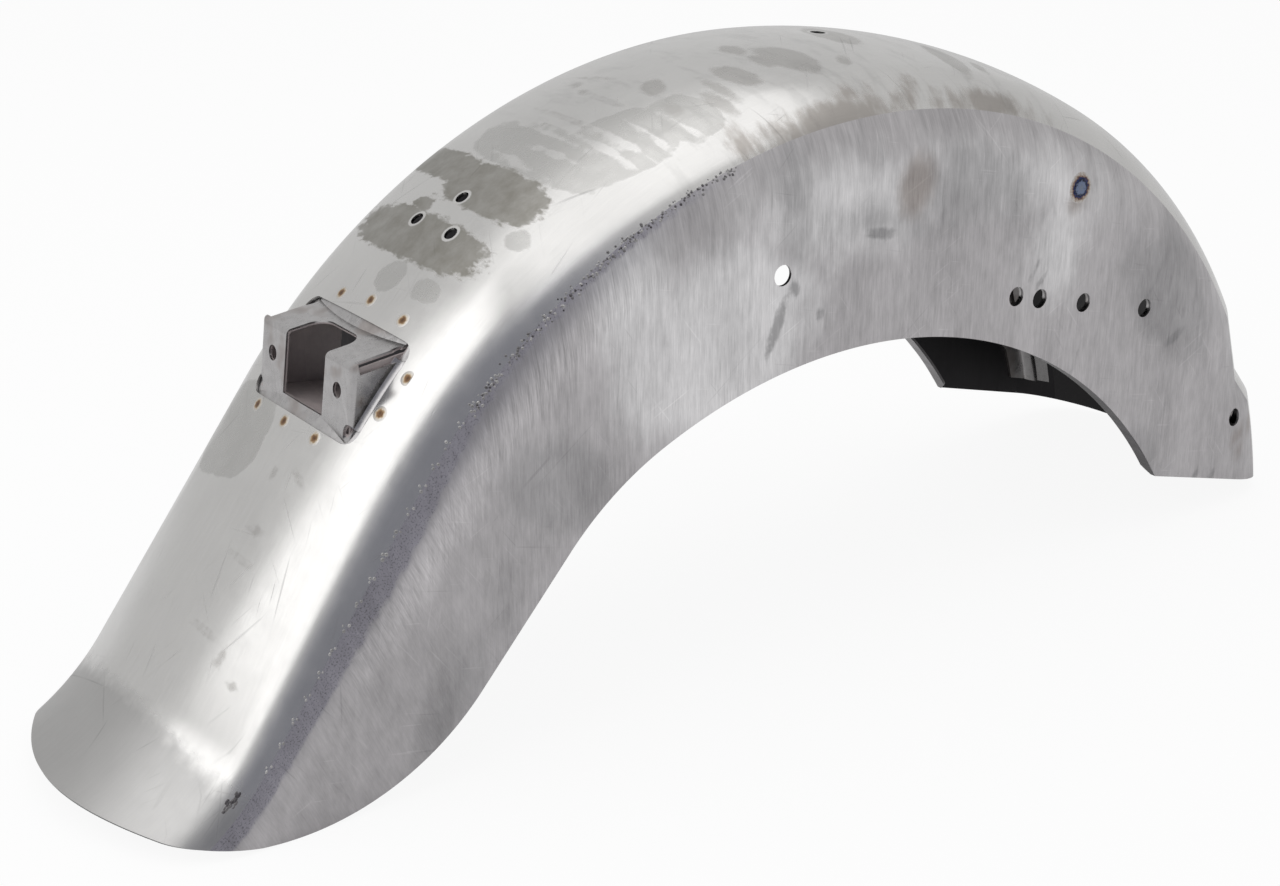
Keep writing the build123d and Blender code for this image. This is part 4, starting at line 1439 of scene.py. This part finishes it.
@dataclass(frozen=True)
class BracketSteel:
    """Bare sheet steel of the welded brackets, with brownish stains and bending marks."""

    base: Colour = (0.44, 0.43, 0.43)
    stained: Colour = (0.33, 0.298, 0.285)
    smoked: Colour = (0.36, 0.315, 0.31)
    roughness: float = 0.28
    relief: float = 0.012
    box_half: float = 0.0418
    skin: float = 0.0009
    reach: float = -0.15

    def material(self) -> bpy.types.Material:
        """Build the material."""
        steel = Steel("bracket_steel")
        g = steel.graph
        spot = g.place()
        inner = self.inner_mask(g, spot)
        mottle = MOTTLE.place(g, vector=spot, scale=34.0)
        broad, fine = mottle.outputs["Broad"], mottle.outputs["Fine"]
        lines = GRIND.use(g, vector=g.turned(spot, 20.0), density=1500.0, length=16.0)
        scratch = SCRATCH.use(g, vector=spot, scale=520.0, cut=0.68)
        blot = g.step(broad, 0.5, 0.62)
        colour = g.mix(g.times(blot, 0.75), self.base, self.stained)
        grain = g.line(lines, 0.3, 0.7, -0.07, 0.07)
        tone = g.total(g.line(fine, 0.3, 0.7, 0.9, 1.1), grain, g.times(scratch, 0.15))
        rough = g.total(self.roughness, g.times(blot, 0.1), g.line(fine, 0.3, 0.7, -0.04, 0.05))
        height = g.total(g.times(lines, 0.6), g.times(scratch, -0.6))
        colour = g.mix(inner, g.shade(colour, tone), g.shade(self.smoked, tone))
        g.feed(steel.shader.inputs["Metallic"], g.line(inner, 0.0, 1.0, 1.0, 0.1))
        return steel.finish(colour, g.total(rough, g.times(inner, 0.2)), height, self.relief * MM)

    def inner_mask(self, g: Graph, spot: Socket) -> Socket:
        """One inside the tail-light box: behind its ear face, below its shelf and between its webs."""
        corner = FORM.place(EARS.point, np.array(0.0))
        masks = []
        for turn in (EARS.ear_normal, EARS.shelf_rise + 90.0):
            way = FORM.tilt(unit(turn))
            normal = (float(way[0]), 0.0, float(way[1]))
            level = float(way[0] * corner[0] + way[1] * corner[2]) - self.skin
            depth = g.node("VectorMath", {0: spot, 1: normal}, operation="DOT_PRODUCT").outputs["Value"]
            masks.append(g.math("LESS_THAN", depth, level))
        x, y, _ = g.parts(spot)
        masks.append(g.math("LESS_THAN", g.math("ABSOLUTE", y), self.box_half))
        masks.append(g.math("LESS_THAN", x, self.reach))
        return g.times(*masks)


@dataclass(frozen=True)
class WeldSteel:
    """Weld metal and the temper colours round it, from each weld's reach, heat tint and soot."""

    base: Colour = (0.55, 0.54, 0.53)
    dark: Colour = (0.07, 0.065, 0.07)
    blue: float = 0.0
    name: str = "weld_steel"
    roughness: float = 0.4
    relief: float = 0.01

    def material(self) -> bpy.types.Material:
        """Build the material."""
        steel = Steel(self.name)
        g = steel.graph
        spot = g.place()
        pits = PITS.place(g, vector=spot, scale=1500.0)
        reach = g.total(g.value("reach"), g.line(g.noise(spot, 700.0, 3.0), 0.3, 0.7, -0.1, 0.1))
        heat = HEAT.place(g, reach=reach, blue=self.blue)
        plain = g.mix(g.value("soot"), self.base, self.dark)
        tint = g.times(heat.outputs["Mask"], g.value("temper"))
        colour = g.mix(tint, plain, heat.outputs["Colour"])
        colour = g.shade(colour, g.line(pits.outputs["Height"], 0.3, 0.7, 0.85, 1.15))
        rough = g.total(self.roughness, g.times(tint, 0.05), g.times(pits.outputs["Mask"], 0.1))
        return steel.finish(colour, rough, pits.outputs["Height"], self.relief * MM)


@dataclass
class WeldedBrackets:
    """Tail-light bracket, front inner brackets and strut doublers, which keep their solids' shape."""

    nodes: tuple[str, ...] = (
        "taillight_bracket",
        "right_front_bracket",
        "left_front_bracket",
        "right_strut_doubler",
        "left_strut_doubler",
    )

    def dress(self, material: bpy.types.Material) -> None:
        """Finish every bracket in bare sheet steel."""
        for node in self.nodes:
            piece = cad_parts[node]
            piece.data.materials.clear()
            piece.data.materials.append(material)
            LOG.info("%s: dressed", node)


@dataclass
class BoxFlanges:
    """Flange strips that run from the box's webs under the crown, along both ends of the light opening."""

    first: float = 41.4
    last: float = 50.0
    half_length: float = 28.4
    bend_half: float = 18.5
    bend_gap: float = 0.4
    foot: float = 1.75
    lift: float = 3.2
    fall_rate: float = 1.6
    rows: int = 12
    end_columns: int = 5
    bend_columns: int = 25

    def build(self) -> bpy.types.Object:
        """Make both strips in one piece."""
        return together([self.strip(hand) for hand in Hand]).piece("box_flanges")

    def strip(self, hand: Hand) -> MeshData:
        """One strip: depth = foot - lift * max(1 - fall_rate * s, 0)^2, flat at both corners.

        The share s goes from 0 at the web to 1 at the strip's outer edge.

        Args:
            hand: Side of the strip.

        Returns:
            The closed strip.
        """
        share = np.linspace(0.0, 1.0, self.rows)[:, None]
        end = np.linspace(self.bend_half + self.bend_gap, self.half_length, self.end_columns)
        start = np.linspace(-self.half_length, -self.bend_half - self.bend_gap, self.end_columns)
        b = np.concatenate([start, np.linspace(-self.bend_half, self.bend_half, self.bend_columns), end])
        a, b = np.broadcast_arrays(hand.value * (self.first + (self.last - self.first) * share), b)
        run, slope = CrownMap(FORM.light_angle).wrap(a, b)
        bent = np.where(np.abs(b) <= self.bend_half, self.lift, 0.0)
        depth = self.foot - bent * np.maximum(1.0 - self.fall_rate * share, 0.0) ** 2
        points = np.stack([FORM.surface(run, slope, depth), FORM.surface(run, slope, depth + FORM.sheet)])
        index = np.arange(points.shape[0] * a.size).reshape(points.shape[:3])
        quads = [cells(grid).reshape(-1, 4) for grid in index]
        edge = [border(grid) for grid in index]
        wall = np.stack([edge[0], edge[1], np.roll(edge[1], -1), np.roll(edge[0], -1)], -1)
        faces = np.concatenate([quads[0], quads[1][:, ::-1], wall])
        if hand is Hand.RIGHT:
            faces = faces[:, ::-1]
        flat = MM * np.stack([run, FORM.plain.across(slope)], -1).reshape(-1, 2)
        return MeshData(points.reshape(-1, 3), faces, np.concatenate([flat, flat]))

    def dress(self, piece: bpy.types.Object, material: bpy.types.Material) -> None:
        """Finish the strips like the bracket that they belong to."""
        set_piece(piece, Slot.BRACKET, material)


@dataclass
class BoxPocket:
    """Pocket behind the two ears: a floor that runs in square to the ears, and a wall on either side."""

    floor_drop: float = 33.0
    run: float = 40.0
    half: float = 41.1
    sheet: float = 1.2
    inset: float = 2.2

    def build(self) -> bpy.types.Object:
        """Make the floor and both walls in one piece."""
        fall, ahead = unit(EARS.ear_normal + 90.0), unit(EARS.ear_normal + 180.0)
        top = EARS.point + self.inset * (ahead + fall)
        foot = top + (self.floor_drop - self.inset) * fall
        end = foot + self.run * ahead
        wall = np.array([top, top + self.run * unit(EARS.shelf_rise), end, foot])
        floor = np.array([foot, end, end + self.sheet * fall, foot + self.sheet * fall])
        parts = [self.plate(floor, -self.half, self.half)]
        for hand in Hand:
            faces = sorted(hand.value * side for side in (self.half, self.half - self.sheet))
            parts.append(self.plate(wall, *faces))
        return together(parts).piece("box_pocket")

    def plate(self, outline: np.ndarray, right: float, left: float) -> MeshData:
        """Flat plate: a side-view outline of four points carried from one side distance to another."""
        points = np.concatenate([FORM.place(outline, np.array(side)) for side in (right, left)])
        ring = np.arange(4)
        after = np.roll(ring, -1)
        sides = np.stack([ring, ring + 4, after + 4, after], -1)
        faces = np.concatenate([[ring], [ring[::-1] + 4], sides])
        return MeshData(points, faces, points[:, [0, 2]])

    def dress(self, piece: bpy.types.Object, material: bpy.types.Material) -> None:
        """Finish the pocket like the bracket that it belongs to."""
        set_piece(piece, Slot.BRACKET, material)


def bead(run: np.ndarray, slope: np.ndarray, rise: np.ndarray, reach: np.ndarray, sunk: float) -> MeshData:
    """Closed bead from rings of skin points: a top that rises off the sheet and a base sunk into it.

    Args:
        run: Runs, one row a ring from the middle outward.
        slope: Slopes of the same shape.
        rise: Heights over the sheet in millimetres.
        reach: Share of the way from the middle to the edge, for the finish.
        sunk: Depth of the base below the sheet's face.

    Returns:
        The bead, with its reach as a point value.
    """
    top = FORM.surface(run, slope, -rise)
    base = FORM.surface(run[::-1], slope[::-1], np.full(run.shape, sunk))
    points = np.concatenate([top, base])
    rows, cols = points.shape[:2]
    index = np.arange(rows * cols).reshape(rows, cols)
    ring = np.roll(index, -1, axis=1)
    faces = np.stack([index[:-1], index[1:], ring[1:], ring[:-1]], axis=-1).reshape(-1, 4)
    flat = MM * np.stack([run, FORM.plain.across(slope)], axis=-1)
    flat = np.concatenate([flat, flat[::-1]]).reshape(-1, 2)
    return MeshData(
        points.reshape(-1, 3), faces, flat, {"reach": np.concatenate([reach, reach[::-1]]).ravel()}
    )


@dataclass(frozen=True)
class WeldShape:
    """Round weld: its radius, and its height over the sheet at a few shares of the radius."""

    radius: float
    shares: tuple[float, ...]
    heights: tuple[float, ...]
    rings: int = 8
    sides: int = 28
    sunk: float = 0.4

    def circle(self, turn: float) -> tuple[np.ndarray, np.ndarray]:
        """Share of the radius at each ring point, and the angle of each side in radians."""
        share = np.linspace(0.0, 1.0, self.rings)[:, None]
        around = turn * np.linspace(0.0, 2 * np.pi, self.sides, endpoint=False)
        return np.broadcast_to(share, (self.rings, self.sides)), around

    def at(self, plane: CrownMap | SkirtMap, a: float, b: float, turn: float = 1.0) -> MeshData:
        """Weld on a plane of the sheet: circle points wrapped to the skin, heights by interpolation.

        Args:
            plane: Plane that touches the sheet near the weld.
            a: First coordinate of the weld's middle on the plane.
            b: Second coordinate.
            turn: 1, or -1 where the plane's axes are a mirror image on the sheet.

        Returns:
            The weld.
        """
        reach, around = self.circle(turn)
        run, slope = plane.wrap(
            a + self.radius * reach * np.cos(around), b + self.radius * reach * np.sin(around)
        )
        return bead(run, slope, np.interp(reach, self.shares, self.heights), reach, self.sunk)


def together(parts: list[MeshData]) -> MeshData:
    """Several pieces as one."""
    return reduce(MeshData.joined, parts)


@dataclass(frozen=True)
class Strew:
    """How crumbs of weld are strewn: spread across the seam, and ranges of their sizes and soot."""

    lift: float
    spread: float
    sizes: tuple[float, float]
    soots: tuple[float, float]

    def rows(
        self, draw: np.random.Generator, runs: np.ndarray, lifts: np.ndarray | float = 0.0
    ) -> np.ndarray:
        """Crumbs at given runs: rows of runs, lifts, sizes and soots.

        Args:
            draw: Source of random numbers.
            runs: Runs of the crumbs.
            lifts: Distances across the seam that are added to the drawn ones.

        Returns:
            Four rows with one column per crumb.
        """
        count = len(runs)
        lifts = lifts + draw.normal(self.lift, self.spread, count)
        return np.stack([runs, lifts, draw.uniform(*self.sizes, count), draw.uniform(*self.soots, count)])


@dataclass
class Welds:
    """Marks of welding: spot welds round the light opening, a plug weld on each side, and the seams."""

    spots: tuple[tuple[float, float], ...] = (
        (148.8, 23.0), (148.3, -1.9), (148.5, -30.0), (152.1, -54.1), (155.4, -51.8),
        (159.45, -23.5), (159.55, 3.3), (159.55, 32.8), (152.1, 54.1), (155.4, 51.8),
    )
    spot: WeldShape = WeldShape(3.8, (0.0, 0.4, 0.6, 0.8, 1.0), (0.08, 0.10, 0.20, 0.10, -0.02))
    plug: WeldShape = WeldShape(
        8.5, (0.0, 0.4, 0.52, 0.62, 0.9, 1.0), (0.55, 0.45, 0.18, 0.1, 0.06, -0.02), rings=12
    )
    plug_x: float = 61.5
    plug_z: float = 294.4
    crumb: WeldShape = WeldShape(1.0, (0.0, 0.6, 1.0), (0.3, 0.22, -0.04), rings=3, sides=8)
    crumb_angles: tuple[float, float] = (149.0, 183.0)
    crumb_pitch: float = 11.6
    crumb_jitter: float = 0.35
    crumb_trio: tuple[tuple[float, float], ...] = ((0.0, -1.6), (1.7, -0.3), (-1.2, 0.4))
    crumbs: Strew = Strew(0.0, 0.3, (0.5, 1.05), (0.2, 0.6))
    grit_angles: tuple[float, float] = (121.0, 152.0)
    grit_count: int = 260
    grit: Strew = Strew(0.8, 1.2, (0.35, 0.9), (0.25, 1.0))
    blob_count: int = 30
    blob_run: float = 157.0
    blob_jitter: float = 2.4
    blob: Strew = Strew(-10.0, 1.5, (0.6, 1.5), (0.75, 1.0))
    seed: int = 11

    def crowns(self) -> MeshData:
        """Spot welds on the crown."""
        spots = [self.spot.at(CrownMap(angle), side, 0.0) for angle, side in self.spots]
        return together(spots).toned(temper=1.0, soot=0.0)

    def plugs(self, hand: Hand) -> MeshData:
        """Plug weld on one side."""
        plane = SkirtMap(hand, self.plug_x, self.plug_z)
        return self.plug.at(plane, 0.0, 0.0, hand.value).toned(temper=1.0, soot=0.0)

    def seam(self, hand: Hand) -> MeshData:
        """Crumbs of weld along the tail's seam and grit along the arch's, with a blob to the right.

        Args:
            hand: Side of the seam.

        Returns:
            All crumbs of the side, strewn from a fixed seed.
        """
        draw = np.random.default_rng(self.seed)
        stops = np.arange(*(FORM.run_at(angle) for angle in self.crumb_angles), self.crumb_pitch)
        shifts, lifts = np.tile(np.array(self.crumb_trio).T, len(stops))
        runs = np.repeat(stops, len(self.crumb_trio)) + shifts
        runs = runs + draw.normal(0.0, self.crumb_jitter, len(runs))
        batches = [self.crumbs.rows(draw, runs, lifts)]
        runs = FORM.run_at(draw.uniform(*self.grit_angles, self.grit_count))
        batches.append(self.grit.rows(draw, runs))
        if hand is Hand.RIGHT:
            runs = draw.normal(self.blob_run, self.blob_jitter, self.blob_count)
            batches.append(self.blob.rows(draw, FORM.run_at(FORM.tail_angle) + runs))
        return together([self.crumb_at(hand, *row) for row in np.concatenate(batches, axis=1).T])

    def crumb_at(self, hand: Hand, run: float, lift: float, size: float, soot: float) -> MeshData:
        """One crumb: a small dome on the seam, moved across it by a lift in millimetres.

        Args:
            hand: Side of the seam.
            run: Run of the crumb's middle.
            lift: Distance from the seam down the side.
            size: Factor on the crumb's radius and height.
            soot: Share of the dark finish.

        Returns:
            The crumb.
        """
        reach, around = self.crumb.circle(hand.value)
        wide = np.degrees(size * self.crumb.radius / FORM.shoulder_r)
        slope = FORM.seam_slope + np.degrees(lift / FORM.shoulder_r) + wide * reach * np.cos(around)
        data = bead(
            run + size * self.crumb.radius * reach * np.sin(around),
            hand.value * slope,
            size * np.interp(reach, self.crumb.shares, self.crumb.heights),
            reach,
            self.crumb.sunk,
        )
        return data.toned(temper=0.0, soot=soot)

    def build(self) -> list[tuple[bpy.types.Object, Slot]]:
        """Make the weld pieces with their slots."""
        pieces = [(self.crowns().piece("spot_welds"), Slot.CROWN)]
        for hand in Hand:
            label = hand.name.lower()
            pieces.append((self.plugs(hand).piece(label + "_plug_weld"), Slot.SKIRT))
            pieces.append((self.seam(hand).piece(label + "_seam_weld"), Slot.SKIRT))
        return pieces

    def dress(self, pieces: list[tuple[bpy.types.Object, Slot]]) -> None:
        """Finish the welds in their temper colours."""
        brown = WeldSteel().material()
        blue = WeldSteel(blue=1.0, name="plug_weld_steel").material()
        for piece, slot in pieces:
            set_piece(piece, slot, blue if "plug" in piece.name else brown)


@dataclass(frozen=True)
class Softbox:
    """Rectangular light: its direction in degrees, distance and size in metres, and radiance."""

    name: str
    azimuth: float
    elevation: float
    away: float
    width: float
    height: float
    glow: float


@dataclass
class Studio:
    """Pale floor, two soft lights, a pale room and the camera at the photograph's angle, in metres."""

    azimuth: float = -36.249
    elevation: float = 22.163
    distance: float = 1.144015
    target: tuple[float, float, float] = (-0.04777, 0.0, 0.0982)
    focal_px: float = 2206.686
    image_width: float = 1280.0
    sensor: float = 36.0
    floor_half: float = 6.0
    floor_colour: Colour = (0.8, 0.8, 0.8)
    floor_roughness: float = 0.9
    floor_lift: float = 0.92
    floor_shine: float = 0.26
    room: float = 0.7
    shade: float = 0.31
    shade_tint: Colour = (0.86, 0.88, 1.0)
    shade_azimuth: float = -28.0
    shade_elevation: float = 24.0
    shade_edge: float = 43.0
    shade_core: float = 16.0
    softboxes: tuple[Softbox, ...] = (
        Softbox("tail_softbox", -99.0, 41.0, 1.7, 1.46, 1.3, 1.1),
        Softbox("top_softbox", 90.0, 86.0, 1.6, 2.2, 1.63, 0.72),
    )

    def toward(self, azimuth: float, elevation: float) -> Vector:
        """Direction from the object; azimuth 0 is along -y and 90 along +x, in degrees."""
        az, el = math.radians(azimuth), math.radians(elevation)
        return Vector((math.sin(az) * math.cos(el), -math.cos(az) * math.cos(el), math.sin(el)))

    def camera(self) -> None:
        """Camera on a sphere round its target, looking at it."""
        back = self.toward(self.azimuth, self.elevation)
        data = bpy.data.cameras.new("photo_camera")
        data.sensor_width = self.sensor
        data.lens = self.focal_px / self.image_width * self.sensor
        camera = bpy.data.objects.new("photo_camera", data)
        camera.location = Vector(self.target) + back * self.distance
        camera.rotation_euler = (-back).to_track_quat("-Z", "Y").to_euler()
        bpy.context.scene.collection.objects.link(camera)
        bpy.context.scene.camera = camera

    def floor(self) -> None:
        """Wide pale floor, lifted towards white for the camera and a little for reflections."""
        half = self.floor_half
        corners = np.array([[-half, -half, 0], [half, -half, 0], [half, half, 0], [-half, half, 0]])
        mesh = bpy.data.meshes.new("floor")
        mesh.from_pydata(corners, [], [(0, 1, 2, 3)])
        floor = bpy.data.objects.new("floor", mesh)
        bpy.context.scene.collection.objects.link(floor)
        material = bpy.data.materials.new("floor_white")
        material.use_nodes = True
        g = Graph(material.node_tree)
        shader = material.node_tree.nodes["Principled BSDF"]
        shader.inputs["Base Color"].default_value = (*self.floor_colour, 1.0)
        shader.inputs["Roughness"].default_value = self.floor_roughness
        shader.inputs["Specular IOR Level"].default_value = 0.0
        path = g.node("LightPath", {}).outputs
        mirrored = g.math("MAXIMUM", path["Is Glossy Ray"], path["Is Transmission Ray"])
        lift = g.total(g.times(path["Is Camera Ray"], self.floor_lift), g.times(mirrored, self.floor_shine))
        white = g.node("Emission", {"Color": (1.0, 1.0, 1.0, 1.0), "Strength": 1.0})
        mixed = g.node("MixShader", {0: lift, 1: shader.outputs[0], 2: white.outputs[0]})
        g.feed(material.node_tree.nodes["Material Output"].inputs["Surface"], mixed.outputs[0])
        mesh.materials.append(material)

    def light(self, box: Softbox) -> None:
        """Light aimed at the fender's middle; its power is its radiance times pi times its area."""
        data = bpy.data.lights.new(box.name, "AREA")
        data.shape = "RECTANGLE"
        data.size, data.size_y = box.width, box.height
        data.energy = box.glow * math.pi * box.width * box.height
        lamp = bpy.data.objects.new(box.name, data)
        way = self.toward(box.azimuth, box.elevation)
        lamp.location = Vector(self.target) + way * box.away
        lamp.rotation_euler = way.to_track_quat("Z", "Y").to_euler()
        bpy.context.scene.collection.objects.link(lamp)

    def world(self) -> None:
        """White to the camera; to everything else a pale room, darker and bluer round the camera."""
        world = bpy.data.worlds.new("studio")
        bpy.context.scene.world = world
        world.use_nodes = True
        g = Graph(world.node_tree)
        way = g.node("TexCoord", {}).outputs["Generated"]
        aim = tuple(self.toward(self.shade_azimuth, self.shade_elevation))
        facing = g.node("VectorMath", {0: way, 1: aim}, operation="DOT_PRODUCT").outputs["Value"]
        edge, core = (math.cos(math.radians(angle)) for angle in (self.shade_edge, self.shade_core))
        dark = g.step(facing, edge, core)
        room = g.node("Mix", {0: dark, 2: self.room, 3: self.shade}, data_type="FLOAT").outputs[0]
        seen = g.node("LightPath", {}).outputs["Is Camera Ray"]
        strength = g.node("Mix", {0: seen, 2: room, 3: 1.0}, data_type="FLOAT").outputs[0]
        g.feed(world.node_tree.nodes["Background"].inputs["Strength"], strength)
        tint = g.mix(g.times(dark, g.math("SUBTRACT", 1.0, seen)), (1.0, 1.0, 1.0), self.shade_tint)
        g.feed(world.node_tree.nodes["Background"].inputs["Color"], tint)

    def build(self) -> None:
        """Set up the whole studio."""
        bpy.context.scene.view_settings.view_transform = "Standard"
        self.camera()
        self.floor()
        self.world()
        for box in self.softboxes:
            self.light(box)
        LOG.info("studio: camera, floor, lights and world")


def main() -> None:
    """Build and dress every piece in order."""
    logging.basicConfig(level=logging.INFO, format="%(name)s: %(message)s")
    crown = CrownPanel()
    crown.dress(crown.build())
    skirt_steel = SkirtSteel().material()
    for hand in Hand:
        side = SidePanel(hand)
        side.dress(side.build(), skirt_steel)
    bracket_steel = BracketSteel().material()
    WeldedBrackets().dress(bracket_steel)
    for detail in (BoxFlanges(), BoxPocket()):
        detail.dress(detail.build(), bracket_steel)
    welds = Welds()
    welds.dress(welds.build())
    Studio().build()


if __name__ == "__main__":
    main()
